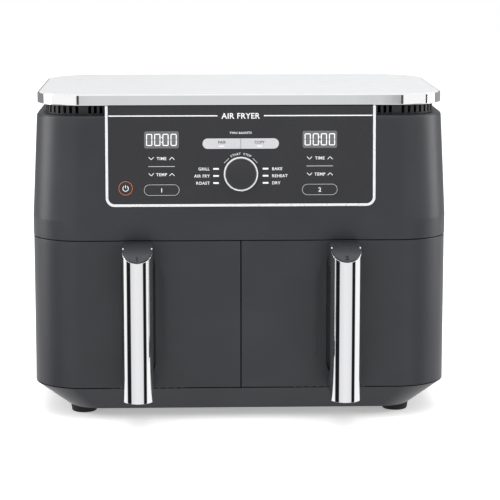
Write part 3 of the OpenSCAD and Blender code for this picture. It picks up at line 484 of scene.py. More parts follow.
# Display body behind the windows
DISPLAY = MouldedPlastic("grey_potted_display", "display", "55565a", 0.4, 1.5, cloud_colour="5a5b5f")
# Solder mask over fibreglass
BOARD = CircuitBoard("green_solder_mask", "board", "1f5636", 0.35, 1.55)
# Black component mouldings
COMPONENT = MouldedPlastic("black_epoxy_moulding", "component", "1d1d1f", 0.45, 1.55, cloud_colour="232325")
# Rolled sheet steel of the chambers, guards, fans and screws
SHEET_STEEL = RolledSteel("cold_rolled_sheet_steel", "sheet_steel", "b9babc", 0.32, metallic=1.0)
# Heating tube
HEATER = HeatTint("heat_tinted_steel_tube", "heater", "6f6a66", 0.45, metallic=0.9)
# Motor casting
MOTOR = RolledSteel(
    "cast_aluminium_motor", "motor", "a8aaad", 0.45, metallic=1.0, along=(1, 1, 1), line=1.5 * MM
)
# Non-stick coating of the baskets and the crisper plates
NONSTICK = SpeckledCoat("ceramic_nonstick_coating", "nonstick", "232325", 0.42, 1.5)
# White print on the panel
WHITE_INK = Ink("white_screen_ink", "panel", "e9eaeb", 0.5, 1.5)
# Light line round the zone keys
GREY_INK = Ink("grey_screen_ink", "panel", "a9aaad", 0.5, 1.5, shade="9a9b9e")
# Amber print of the power key, with a faint painted glow of its own
AMBER_INK = Ink("amber_screen_ink", "panel", "b9663f", 0.5, 1.5, shade="a85a35", glow=0.1)
# Dark print on the silver keys and the handles' caps
DARK_INK = Ink("dark_screen_ink", "silver", "141415", 0.6, 1.5, shade="101011")
# Studio paper, lit evenly from all round
STUDIO_PAPER = Paper("matt_studio_paper", "lid", "f8f8f8", 0.9, glow=0.36, glow_colour="ffffff")
# Lit display segments
LIT_SEGMENT = Ink("lit_white_segment", "display", "e6e8ea", 0.4, 1.5, shade="dcdee0", glow=0.2)

FINISH_OF_SLOT: dict[str, Finish] = {
    "housing": HOUSING,
    "dark_trim": DARK_TRIM,
    "rubber": RUBBER,
    "lid": LID,
    "chrome": CHROME,
    "silver": SILVER,
    "panel": PANEL,
    "window": WINDOW,
    "display": DISPLAY,
    "board": BOARD,
    "component": COMPONENT,
    "sheet_steel": SHEET_STEEL,
    "heater": HEATER,
    "motor": MOTOR,
    "nonstick": NONSTICK,
}


# ---------------------------------------------------------------- mesh helpers


class Cut(Enum):
    """How one form changes another."""

    REMOVE = "DIFFERENCE"
    KEEP = "INTERSECT"
    JOIN = "UNION"


def add_object(name: str, data: bpy.types.ID) -> bpy.types.Object:
    """Links a new object into the scene.

    Args:
        name: the object's name.
        data: its mesh, curve, lamp or camera.

    Returns:
        The object.
    """
    thing = bpy.data.objects.new(name, data)
    bpy.context.scene.collection.objects.link(thing)
    return thing


def settled_mesh(thing: bpy.types.Object) -> bpy.types.Mesh:
    """A new mesh of what an object's modifiers or text come to."""
    graph = bpy.context.evaluated_depsgraph_get()
    return bpy.data.meshes.new_from_object(thing.evaluated_get(graph))


class Form:
    """A bmesh and the few moves that the pieces share."""

    def __init__(self, name: str) -> None:
        """Starts an empty form with a name."""
        self.name = name
        self.bm = bmesh.new()

    def rect(self, low: Sequence[float], high: Sequence[float], z: float = 0.0) -> bmesh.types.BMFace:
        """Adds a flat rectangle.

        Args:
            low: lowest x and y.
            high: highest x and y.
            z: its level.

        Returns:
            The face, facing up.
        """
        made = bmesh.ops.create_grid(self.bm, x_segments=1, y_segments=1, size=0.5)
        centre = Vector(((low[0] + high[0]) / 2, (low[1] + high[1]) / 2, z))
        spread = Vector((high[0] - low[0], high[1] - low[1], 1.0))
        bmesh.ops.scale(self.bm, vec=spread, verts=made["verts"])
        bmesh.ops.translate(self.bm, vec=centre, verts=made["verts"])
        return made["verts"][0].link_faces[0]

    def bevel(self, geom: Sequence[object], radius: float, segments: int, affect: str) -> None:
        """Rounds corners or edges with a round profile.

        Args:
            geom: the corners or edges.
            radius: how far the rounding reaches.
            segments: steps across the rounding.
            affect: "VERTICES" or "EDGES".
        """
        bmesh.ops.bevel(
            self.bm,
            geom=geom,
            offset=radius,
            offset_type="OFFSET",
            segments=segments,
            profile=0.5,
            affect=affect,
            material=-1,
            clamp_overlap=affect == "EDGES",
        )

    def round_corners(
        self, face: bmesh.types.BMFace, pick: Callable[[Vector], bool], radius: float, segments: int
    ) -> bmesh.types.BMFace:
        """Rounds some corners of a flat face.

        Args:
            face: the face.
            pick: says which corner points are rounded.
            radius: the corners' radius.
            segments: steps in each arc.

        Returns:
            The face that is left.
        """
        corners = [v for v in face.verts if pick(v.co)]
        before = set(self.bm.faces) - {face}
        self.bevel(corners, radius, segments, "VERTICES")
        bmesh.ops.remove_doubles(self.bm, verts=self.bm.verts[:], dist=MERGE)
        left = [f for f in self.bm.faces if f not in before]
        return max(left, key=lambda f: f.calc_area())

    def plan(
        self,
        half: float,
        front: float,
        rear: float,
        front_r: float,
        rear_r: float,
        z: float,
        segments: int = 14,
    ) -> bmesh.types.BMFace:
        """Adds a housing outline: a rectangle with its own front and rear corner radii.

        Args:
            half: half the width.
            front: lowest y.
            rear: highest y.
            front_r: radius of the front corners.
            rear_r: radius of the rear corners.
            z: its level.
            segments: steps in each corner.

        Returns:
            The face.
        """
        face = self.rect((-half, front), (half, rear), z)
        middle = (front + rear) / 2
        if front_r > 0:
            face = self.round_corners(face, lambda p: p.y < front + NEAR, front_r, segments)
        if rear_r > 0:
            face = self.round_corners(face, lambda p: p.y > rear - NEAR and p.y > middle, rear_r, segments)
        return face

    def lift(
        self,
        face: bmesh.types.BMFace,
        move: Sequence[float],
        scale: Sequence[float] = (1, 1, 1),
        about: Sequence[float] = (0, 0, 0),
    ) -> bmesh.types.BMFace:
        """Extrudes a face, then scales its new end about a point and moves it.

        Args:
            face: the face to extrude.
            move: how far the new end moves.
            scale: how much the new end is scaled.
            about: the point that the scaling keeps.

        Returns:
            The face at the new end.
        """
        made = bmesh.ops.extrude_face_region(self.bm, geom=[face])["geom"]
        end = next(g for g in made if isinstance(g, bmesh.types.BMFace))
        verts = list(end.verts)
        bmesh.ops.scale(self.bm, vec=scale, verts=verts, space=Matrix.Translation(-Vector(about)))
        bmesh.ops.translate(self.bm, vec=Vector(move), verts=verts)
        return end

    def close(self) -> "Form":
        """Merges doubles, turns every face outwards and returns the form."""
        bmesh.ops.remove_doubles(self.bm, verts=self.bm.verts[:], dist=MERGE)
        bmesh.ops.recalc_face_normals(self.bm, faces=self.bm.faces[:])
        return self

    def soften(
        self, pick: Callable[[bmesh.types.BMEdge], bool], radius: float, segments: int = 2
    ) -> "Form":
        """Rounds some edges.

        Args:
            pick: says which edges are rounded.
            radius: how far the rounding reaches along the faces.
            segments: steps across the rounding.

        Returns:
            The form.
        """
        edges = [e for e in self.bm.edges if e.is_valid and len(e.link_faces) == 2 and pick(e)]
        if edges:
            self.bevel(edges, radius, segments, "EDGES")
        return self

    def keep_beyond(self, point: Sequence[float], normal: Sequence[float]) -> "Form":
        """Cuts off everything behind a plane and closes the cut.

        Args:
            point: a point on the plane.
            normal: points to the side that is kept.

        Returns:
            The form.
        """
        everything = self.bm.verts[:] + self.bm.edges[:] + self.bm.faces[:]
        bmesh.ops.bisect_plane(self.bm, geom=everything, plane_co=point, plane_no=normal, clear_inner=True)
        bmesh.ops.holes_fill(self.bm, edges=[e for e in self.bm.edges if len(e.link_faces) == 1])
        return self.close()

    def place(self, matrix: Matrix) -> "Form":
        """Moves the whole form by a matrix and returns it."""
        bmesh.ops.transform(self.bm, matrix=matrix, verts=self.bm.verts[:])
        return self

    def flip_side(self) -> None:
        """Mirrors the whole form across x = 0."""
        bmesh.ops.scale(self.bm, vec=(-1, 1, 1), verts=self.bm.verts[:])
        bmesh.ops.reverse_faces(self.bm, faces=self.bm.faces[:])

    def mesh(self) -> bpy.types.Mesh:
        """Writes the form to a new mesh and returns it."""
        mesh = bpy.data.meshes.new(self.name)
        self.bm.to_mesh(mesh)
        return mesh

    def combine(self, other: "Form", how: Cut, inner_walls: bool = False) -> "Form":
        """Cuts with, keeps within or joins to another closed form.

        Args:
            other: the other form, which is used up.
            how: what happens.
            inner_walls: set it where a form has a wall inside it, so that the cut comes out the same each run.

        Returns:
            The form.
        """
        target, tool = (add_object(form.name, form.mesh()) for form in (self, other))
        modifier = target.modifiers.new("cut", "BOOLEAN")
        modifier.operation = how.value
        modifier.solver = "EXACT"
        modifier.object = tool
        modifier.use_self = inner_walls
        result = settled_mesh(target)
        self.bm.clear()
        self.bm.from_mesh(result)
        # An object goes with its mesh
        for mesh in (target.data, tool.data, result):
            bpy.data.meshes.remove(mesh)
        bmesh.ops.remove_doubles(self.bm, verts=self.bm.verts[:], dist=1e-6)
        return self

    def piece(
        self, finish: Finish, body: str, replaces: Iterable[str] = (), smooth_deg: float = 32.0
    ) -> bpy.types.Object:
        """Makes the finished piece.

        Args:
            finish: what it is made of.
            body: the CAD body that it rides on.
            replaces: the CAD nodes that it stands for.
            smooth_deg: edges sharper than this stay crisp.

        Returns:
            The object.
        """
        mesh = self.mesh()
        self.bm.free()
        for polygon in mesh.polygons:
            polygon.use_smooth = True
        mesh.set_sharp_from_angle(angle=math.radians(smooth_deg))
        thing = add_object(self.name, mesh)
        mesh.materials.append(finish.build())
        weight = thing.modifiers.new("even_normals", "WEIGHTED_NORMAL")
        weight.keep_sharp = True
        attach(thing, body)
        names = list(replaces)
        if names:
            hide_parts(*names)
        LOG.info("%s: %d faces, rides on %s", self.name, len(mesh.polygons), body)
        return thing


def edge_z(edge: bmesh.types.BMEdge) -> tuple[float, float]:
    """The lower and higher z of an edge's ends."""
    a, b = edge.verts[0].co.z, edge.verts[1].co.z
    return min(a, b), max(a, b)


def is_sharp(edge: bmesh.types.BMEdge, degrees: float = SHARP_DEG) -> bool:
    """Whether an edge between two faces turns by more than an angle."""
    return len(edge.link_faces) == 2 and edge.calc_face_angle(0.0) > math.radians(degrees)


def node_form(node: str, name: str) -> Form:
    """Copies a CAD node's mesh into a form, merged and with its flat faces cleared of spare edges.

    Args:
        node: the CAD node.
        name: the new form's name.

    Returns:
        The form.
    """
    form = Form(name)
    form.bm.from_mesh(frame["nodes"][node].data)
    bmesh.ops.remove_doubles(form.bm, verts=form.bm.verts[:], dist=2e-6)
    bmesh.ops.dissolve_limit(
        form.bm, angle_limit=math.radians(0.6), verts=form.bm.verts[:], edges=form.bm.edges[:]
    )
    return form


# ---------------------------------------------------------------- layout read from the frame


@dataclass(frozen=True)
class Layout:
    """Planes and levels of the housing, read from the CAD nodes' boxes.

    Attributes:
        half: half the housing's width.
        front: y of the drawer fronts.
        rear: y of the rear wall.
        drawer_low: bottom of the drawer fronts.
        drawer_high: top of the drawer fronts.
        upper_low: bottom of the upper housing.
        upper_high: top of the upper housing.
        lid_low: bottom of the lid.
        lid_high: top of the lid.
        handle_front: y of the handles' front.
        band: height of the upright band under the crease.
        front_lean: how far the upper housing's front leans back over its height.
        side_lean: the same, for each side.
        front_r: radius of the front corners.
        rear_r: radius of the rear corners.
        wall: thickness of the shells.
    """

    half: float
    front: float
    rear: float
    drawer_low: float
    drawer_high: float
    upper_low: float
    upper_high: float
    lid_low: float
    lid_high: float
    handle_front: float
    band: float = 19.4 * MM
    front_lean: float = 6.5 * MM
    side_lean: float = 4.8 * MM
    front_r: float = 50 * MM
    rear_r: float = 58 * MM
    wall: float = 3.0 * MM

    @classmethod
    def read(cls) -> "Layout":
        """Reads the boxes of the housing's nodes."""
        upper_low, upper_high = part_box("upper_housing")
        drawer_low, drawer_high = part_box("drawer_front_right")
        lid_low, lid_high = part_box("top_cover")
        cover_low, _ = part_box("handle_cover_right")
        return cls(
            half=upper_high.x,
            front=upper_low.y,
            rear=upper_high.y,
            drawer_low=drawer_low.z,
            drawer_high=drawer_high.z,
            upper_low=upper_low.z,
            upper_high=upper_high.z,
            lid_low=lid_low.z,
            lid_high=lid_high.z,
            handle_front=cover_low.y,
        )

    @property
    def crease(self) -> float:
        """Level where the front starts to lean back."""
        return self.upper_low + self.band

    @property
    def lean(self) -> float:
        """Angle by which the front leans back."""
        return math.atan(self.front_lean / (self.upper_high - self.crease))

    def face_frame(self) -> Matrix:
        """The matrix from the panel's own frame (x right, y up the face, z out) to the row frame."""
        move = Matrix.Translation((0, self.front, self.crease))
        return move @ Matrix.Rotation(math.pi / 2 - self.lean, 4, "X")

    def on_face(self, point: Vector) -> Vector:
        """Turns a point in the row frame into the panel's own frame."""
        return self.face_frame().inverted() @ point

    def node_on_face(self, node: str) -> Vector:
        """The middle of a CAD node's box, in the panel's own frame."""
        low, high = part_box(node)
        return self.on_face((low + high) / 2)


# ---------------------------------------------------------------- pieces that keep their CAD shape


def dressed_copy(
    node: str, body: str, finish: Finish, radius: float = 0.4 * MM, segments: int = 2, name: str = ""
) -> bpy.types.Object:
    """Makes a finished copy of a CAD node, with its sharp edges rounded, and hides the node.

    Args:
        node: the CAD node.
        body: the body that it rides on.
        finish: what it is made of.
        radius: radius of the rounding.
        segments: steps across the rounding.
        name: the piece's name, or the node's with a suffix.

    Returns:
        The object.
    """
    form = node_form(node, name or f"{node}_finished")
    thing = form.piece(finish, body, (node,))
    rounding = thing.modifiers.new("rounded_edges", "BEVEL")
    rounding.width = radius
    rounding.segments = segments
    rounding.limit_method = "ANGLE"
    rounding.angle_limit = math.radians(SHARP_DEG)
    rounding.use_clamp_overlap = True
    rounding.harden_normals = True
    thing.modifiers.move(1, 0)
    return thing


# ---------------------------------------------------------------- housing


@dataclass
class Housing:
    """The outer shells: base tray, lower and upper housing, neck, lid and its bright trim.

    Attributes:
        layout: planes and levels.
        shoulder_r: rounding of the upper housing's top edge.
        shell_r: rounding of the shells' other edges.
        deck_lip: width of the deck round the top of the upper housing.
        well_front_r: radius of the front corners of the opening in that deck.
        well_rear_r: radius of its rear corners.
        vent_r: corner radius of the rear vent's opening.
        fit: room between a shell and a piece that sits in it.
        notch_r: corner radius of the panel's notch.
        notch_proud: how far the notch's cutter stands out of the face.
        neck_rise: how far the panel rises over the upper housing.
        lid_inset: how much less the lid's corner radii are than the housing's.
        trim_edge_r: rounding of the bright trim.
        body: the body that they ride on.
    """

    layout: Layout
    shoulder_r: float = 3.5 * MM
    shell_r: float = 0.7 * MM
    deck_lip: float = 22 * MM
    well_front_r: float = 31 * MM
    well_rear_r: float = 39 * MM
    vent_r: float = 6 * MM
    fit: float = 0.1 * MM
    notch_r: float = 9 * MM
    notch_proud: float = 6 * MM
    neck_rise: float = 9.6 * MM
    lid_inset: float = 5.7 * MM
    trim_edge_r: float = 0.9 * MM
    body: str = "housing"

    def slope(self, inset: float, low: float) -> Form:
        """The upper housing's solid, moved inwards by a wall.

        Args:
            inset: the wall.
            low: level of its underside.

        Returns:
            The closed form.
        """
        lay = self.layout
        half, front, rear = lay.half - inset, lay.front + inset, lay.rear - inset
        form = Form("slope")
        face = form.plan(half, front, rear, lay.front_r - inset, lay.rear_r - inset, low)
        face = form.lift(face, (0, 0, lay.crease - low))
        scale = ((half - lay.side_lean) / half, (rear - front - lay.front_lean) / (rear - front), 1)
        form.lift(face, (0, 0, lay.upper_high - lay.crease), scale, (0, rear, 0))
        return form.close()

    def upper(self) -> None:
        """Builds the upper housing: a leaning shell with a notch for the panel and a deck round its top."""
        lay = self.layout
        shell = self.slope(0, lay.upper_low)
        top, low = lay.upper_high, lay.upper_low
        shell.soften(lambda e: edge_z(e)[0] > top - NEAR, self.shoulder_r, 5)
        shell.soften(lambda e: edge_z(e)[1] < low + NEAR, self.shell_r, 2)
        shell.name = "upper_housing_shell"
        hollow = self.slope(lay.wall, low - lay.wall)
        ceiling = Form("ceiling")
        ceiling.lift(ceiling.rect((-1, -1), (1, 1), top - lay.wall), (0, 0, 1))
        hollow.combine(ceiling.close(), Cut.REMOVE, True)
        shell.combine(hollow, Cut.REMOVE, True)
        well = Form("well")
        lip = self.deck_lip
        floor = top - 2 * lay.wall
        face = well.plan(
            lay.half - lip, lay.front + lip, lay.rear - lip, self.well_front_r, self.well_rear_r, floor
        )
        well.lift(face, (0, 0, 4 * lay.wall))
        shell.combine(well.close(), Cut.REMOVE, True)
        shell.combine(self.notch(), Cut.REMOVE, True)
        near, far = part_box("rear_grille")
        vent, gap = Form("vent"), self.fit
        face = vent.rect((near.x - gap, near.z - gap), (far.x + gap, far.z + gap))
        face = vent.round_corners(face, lambda p: True, self.vent_r, 6)
        vent.lift(face, (0, 0, 3 * lay.wall))
        vent.place(Matrix.Translation((0, lay.rear + lay.wall, 0)) @ Matrix.Rotation(math.pi / 2, 4, "X"))
        shell.combine(vent.close(), Cut.REMOVE, True)
        shell.piece(HOUSING, self.body, ("upper_housing",), 30)

    def notch(self) -> Form:
        """The gap for the panel: its outline, thickened along the leaning face and put in place.

        Returns:
            The closed form.
        """
        lay = self.layout
        bezel_low, bezel_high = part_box("control_bezel")
        half = bezel_high.x + self.fit
        foot = lay.on_face(Vector((0, lay.front, bezel_low.z))).y - 2 * self.fit
        top = (lay.upper_high + self.neck_rise - lay.crease) / math.cos(lay.lean) - 3 * self.fit
        middle = (foot + top) / 2
        form = Form("notch")
        face = form.rect((-half, foot), (half, top), -self.deck_lip)
        face = form.round_corners(face, lambda p: p.y < middle, self.notch_r, 10)
        form.lift(face, (0, 0, self.notch_proud + self.deck_lip))
        return form.close().place(lay.face_frame())

    def lid(self) -> None:
        """Builds the pale lid and the bright trim round it."""
        outer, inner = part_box("top_trim"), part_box("top_cover")
        (low, high), (inner_low, inner_high) = outer, inner
        wall, trim = self.layout.wall, inner_low.y - low.y
        front_r, rear_r = self.layout.front_r - self.lid_inset, self.layout.rear_r - self.lid_inset

        def slab(
            name: str,
            box: tuple[Vector, Vector],
            inset: float,
            less: float,
            z: float,
            height: float,
            segments: int = 20,
        ) -> Form:
            """A slab with the lid's outline.

            Args:
                name: the form's name.
                box: low and high corners of the box that its sides follow.
                inset: how far its sides are moved inwards.
                less: how much smaller its corner radii are.
                z: level of its underside.
                height: its height.
                segments: steps in each corner.

            Returns:
                The closed form.
            """
            near, far = box
            form = Form(name)
            face = form.plan(
                far.x - inset, near.y + inset, far.y - inset, front_r - less, rear_r - less, z, segments
            )
            form.lift(face, (0, 0, height))
            return form.close()

        band = slab("lid_trim_band", outer, 0, 0, low.z, high.z - low.z)
        band.soften(is_sharp, self.trim_edge_r, 4)
        band.combine(slab("hole", outer, trim, trim, 0, 1), Cut.REMOVE)
        band.piece(CHROME, self.body, ("top_trim",))
        thick = inner_high.z - inner_low.z
        cover = slab("lid_cover", inner, 0, trim, inner_low.z, thick)
        cover.soften(lambda e: is_sharp(e) and edge_z(e)[0] > inner_high.z - NEAR, 0.5 * MM, 3)
        cover.combine(slab("hollow", inner, wall, trim + wall, inner_low.z - wall, thick, 14), Cut.REMOVE)
        cover.piece(LID, self.body, ("top_cover",))

    def build(self) -> None:
        """Builds every shell of the housing."""
        self.upper()
        self.lid()
        for node, finish, radius, segments in (
            ("vent_neck", DARK_TRIM, 0.25, 2),
            ("lower_housing", HOUSING, 0.7, 2),
            ("base_tray", HOUSING, 0.7, 2),
            ("rear_grille", DARK_TRIM, 0.5, 2),
            ("feet", RUBBER, 1.2, 3),
            ("rear_spacers", RUBBER, 1.0, 3),
            ("cord_gland", RUBBER, 0.6, 3),
        ):
            dressed_copy(node, self.body, finish, radius * MM, segments)


# ---------------------------------------------------------------- drawers and handles


@dataclass
class Drawer:
    """One drawer: its front, liner, handle and basket. It is built right-handed and mirrored.

    Attributes:
        layout: planes and levels.
        side: 1 for the right, -1 for the left.
        wall: thickness of the hollow front.
        recess_half: half width of the finger recess at its bottom.
        recess_flare: how much wider the shallow dish round the recess is.
        recess_depth: depth of the recess.
        dish_depth: depth of the shallow dish.
        dish_shift: how far the dish sits towards the middle of the housing.
        recess_foot: from the front's bottom up to the recess.
        recess_head: from the recess up to the front's top.
        dish_head: from the dish up to the front's top.
        edge_r: rounding of the front's edges.
        cover_t: thickness of the bright cover.
        cover_drop: from the handle's top down to where the cap meets the cover.
        cover_slope_deg: slope of the cover's cut top.
        cap_r: radius of the cap's nose.
        cap_back: from the handle's front back to the middle of that nose.
        cap_tilt_deg: how far up the nose the numeral sits.
    """

    layout: Layout
    side: int
    wall: float = 3 * MM
    recess_half: float = 16.5 * MM
    recess_flare: float = 10.5 * MM
    recess_depth: float = 7 * MM
    dish_depth: float = 2.0 * MM
    dish_shift: float = 8 * MM
    recess_foot: float = 9 * MM
    recess_head: float = 8 * MM
    dish_head: float = 2.5 * MM
    edge_r: float = 0.9 * MM
    cover_t: float = 1.6 * MM
    cover_drop: float = 12.4 * MM
    cover_slope_deg: float = 33
    cap_r: float = 30 * MM
    cap_back: float = 23.46 * MM
    cap_tilt_deg: float = 47

    @property
    def name(self) -> str:
        """The side in words."""
        return "right" if self.side > 0 else "left"

    @property
    def body(self) -> str:
        """The body that the drawer's pieces ride on."""
        return f"drawer_{self.name}"

    def stadium(self, half: float, low: float, high: float, depth: float) -> Form:
        """Starts an upright round-ended outline, seen from the front.

        Args:
            half: half its width.
            low: its lowest level.
            high: its highest level.
            depth: y of its plane.

        Returns:
            The form, a single face.
        """
        form = Form("stadium")
        face = form.rect((-half, low), (half, high))
        form.round_corners(face, lambda p: True, half - 0.01 * MM, 14)
        return form.place(Matrix.Translation((0, depth, 0)) @ Matrix.Rotation(math.pi / 2, 4, "X"))

    def recess(self, handle_x: float, grow: float, start: float, depth: float, flare: float) -> Form:
        """The finger recess as a solid that tapers into the front.

        Args:
            handle_x: the handle's place across the housing.
            grow: how much larger it is than the recess.
            start: y where it begins.
            depth: how deep it goes.
            flare: how much wider it is at its beginning than at its end.

        Returns:
            The closed form.
        """
        low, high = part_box("drawer_front_right")
        half = self.recess_half + grow
        z0, z1 = low.z + self.recess_foot - grow, high.z - self.recess_head + grow
        form = self.stadium(half + flare, z0 - flare, min(z1 + flare, high.z - self.dish_head), start)
        face = form.bm.faces[:][0]
        middle = (z0 + z1) / 2
        wide = half / (half + flare)
        tall = (z1 - z0) / (z1 - z0 + 2 * flare)
        form.lift(face, (0, depth, 0), (wide, 1, tall), (0, start, middle))
        form.close()
        return form.place(Matrix.Translation((handle_x, 0, 0)))

    def front(self) -> None:
        """Builds the drawer front: a hollow moulding that wraps round the side, with a finger recess."""
        low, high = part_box("drawer_front_right")
        _, liner_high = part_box("drawer_liner_right")
        cover_low, cover_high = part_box("handle_cover_right")
        handle_x = (cover_low.x + cover_high.x) / 2
        wall, back = self.wall, liner_high.y
        corner = self.layout.front_r - 0.3 * MM

        def block(name: str, left: float, wide: float, inset: float, tall: float) -> Form:
            """A block like the front's box, with its outer front corner rounded.

            Args:
                name: the form's name.
                left: how far its inner end is moved outwards.
                wide: how far its outer end is moved inwards.
                inset: how far its front and its back are moved back.
                tall: how far its bottom and its top are moved outwards.

            Returns:
                The closed form.
            """
            form = Form(name)
            end, face_y, z0 = high.x - wide, low.y + inset, low.z - tall
            face = form.rect((low.x + left, face_y), (end, high.y + inset), z0)
            face = form.round_corners(
                face, lambda p: p.x > end - NEAR and p.y < face_y + NEAR, corner - inset, 18
            )
            form.lift(face, (0, 0, high.z + tall - z0))
            return form.close()

        shell = block(f"drawer_front_{self.name}_moulding", 0, 0, 0, 0)
        shell.soften(is_sharp, self.edge_r, 3)
        shell.combine(block("inner", wall, wall, wall, -wall), Cut.REMOVE)
        behind = block("behind", -wall, wall, wall, wall)
        shell.combine(behind.keep_beyond((0, back, 0), (0, 1, 0)), Cut.REMOVE)
        skin = 1 * MM
        backing = self.recess(handle_x, wall, low.y + skin, self.recess_depth + wall - skin, 0)
        shell.combine(backing, Cut.JOIN)
        inward = handle_x - self.dish_shift
        dish = self.recess(inward, 0, low.y - skin, self.dish_depth + skin, self.recess_flare)
        shell.combine(dish, Cut.REMOVE)
        shell.combine(self.recess(handle_x, 0, low.y - skin, self.recess_depth + skin, 0), Cut.REMOVE)
        mouth = self.recess_half + skin

        def on_mouth(edge: bmesh.types.BMEdge) -> bool:
            """Whether an edge runs round the recess's mouth or floor.

            Args:
                edge: the edge.

            Returns:
                True if it does.
            """
            near = all(
                abs(v.co.x - handle_x) < mouth
                and low.z + 0.5 * MM < v.co.z < high.z - 0.5 * MM
                and v.co.y < low.y + self.recess_depth + 0.3 * MM
                for v in edge.verts
            )
            return near and is_sharp(edge, 35)

        shell.soften(on_mouth, self.edge_r, 3)
        if self.side < 0:
            shell.flip_side()
        shell.piece(HOUSING, self.body, (f"drawer_front_{self.name}",), 30)

    def cover(self) -> None:
        """Builds the bright cover: a half-round channel, closed below and cut on the slope above."""
        low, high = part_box("handle_cover_right")
        core_low, core_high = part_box("handle_core_right")
        middle = (low.x + high.x) / 2
        half = (high.x - low.x) / 2
        thick = self.cover_t

        def channel(inset: float, z0: float, z1: float, y1: float) -> Form:
            """A half-round upright bar.

            Args:
                inset: how far its front is moved inwards.
                z0: its lowest level.
                z1: its highest level.
                y1: y of its flat back.

            Returns:
                The closed form.
            """
            form = Form("channel")
            radius = half - inset
            front = low.y + inset + 0.08 * MM
            face = form.rect((-radius, front), (radius, y1), z0)
            face = form.round_corners(face, lambda p: p.y < front + NEAR, radius - 0.005 * MM, 24)
            form.lift(face, (0, 0, z1 - z0))
            return form.close().place(Matrix.Translation((middle, 0, 0)))

        shell = channel(0, low.z, core_high.z, high.y)
        shell.name = f"handle_{self.name}_chrome_cover"
        cut_at = Matrix.Translation((middle, low.y, core_high.z - self.cover_drop))
        slice_frame = cut_at @ Matrix.Rotation(math.radians(self.cover_slope_deg), 4, "X")
        wedge = Form("wedge")
        wedge.lift(wedge.rect((-0.05, -0.05), (0.05, 0.15)), (0, 0, 0.1))
        shell.combine(wedge.close().place(slice_frame), Cut.REMOVE)
        shell.combine(channel(thick, core_low.z - 0.1 * MM, core_high.z + thick, high.y + thick), Cut.REMOVE)
        shell.soften(lambda e: is_sharp(e, 35), 0.45 * MM, 3)
        if self.side < 0:
            shell.flip_side()
        shell.piece(CHROME, self.body, (f"handle_cover_{self.name}",), 30)

    def numeral(self) -> None:
        """Prints the drawer's number on the handle's cap, where the cap slopes down to the cover."""
        low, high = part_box("handle_core_right")
        middle = self.side * (low.x + high.x) / 2
        tilt = math.radians(self.cap_tilt_deg)
        centre = Vector((middle, self.layout.handle_front + self.cap_back, high.z - self.cap_r))
        normal = Vector((0, -math.cos(tilt), math.sin(tilt)))
        mark = Print(self.layout, f"handle_{self.name}_number", DARK_INK, self.body, 0.0, 0.05)
        mark.word("1" if self.side < 0 else "2", 0, 0.1 * MM, 4.8 * MM)
        # Just clear of the nose, so that the flat print isn't buried
        move = Matrix.Translation(centre + normal * (self.cap_r + 0.3 * MM))
        mark.finish_piece(move @ Matrix.Rotation(math.pi / 2 - tilt, 4, "X"))

    def build(self) -> None:
        """Builds the drawer's pieces."""
        self.front()
        self.cover()
        self.numeral()
        crisper = f"crisper_{self.name}"
        for node, body, finish, radius, segments in (
            # The core and cap take the nylon whose colour is painted lighter for the key light
            ("handle_core", self.body, HANDLE_CAP_PAINTED_LIGHTER, 0.8, 3),
            ("drawer_liner", self.body, DARK_TRIM, 0.4, 2),
            ("basket", self.body, NONSTICK, 0.5, 2),
            ("crisper_plate", crisper, NONSTICK, 0.3, 2),
            ("crisper_bumpers", crisper, RUBBER, 0.5, 2),
        ):
            dressed_copy(f"{node}_{self.name}", body, finish, radius * MM, segments)


# ---------------------------------------------------------------- control panel


# Height of the typeface's capitals, as a share of its size
CAPITALS = 0.72


class Align(Enum):
    """Which point of a word sits at its place."""

    LEFT = "LEFT"
    CENTRE = "CENTER"
    RIGHT = "RIGHT"


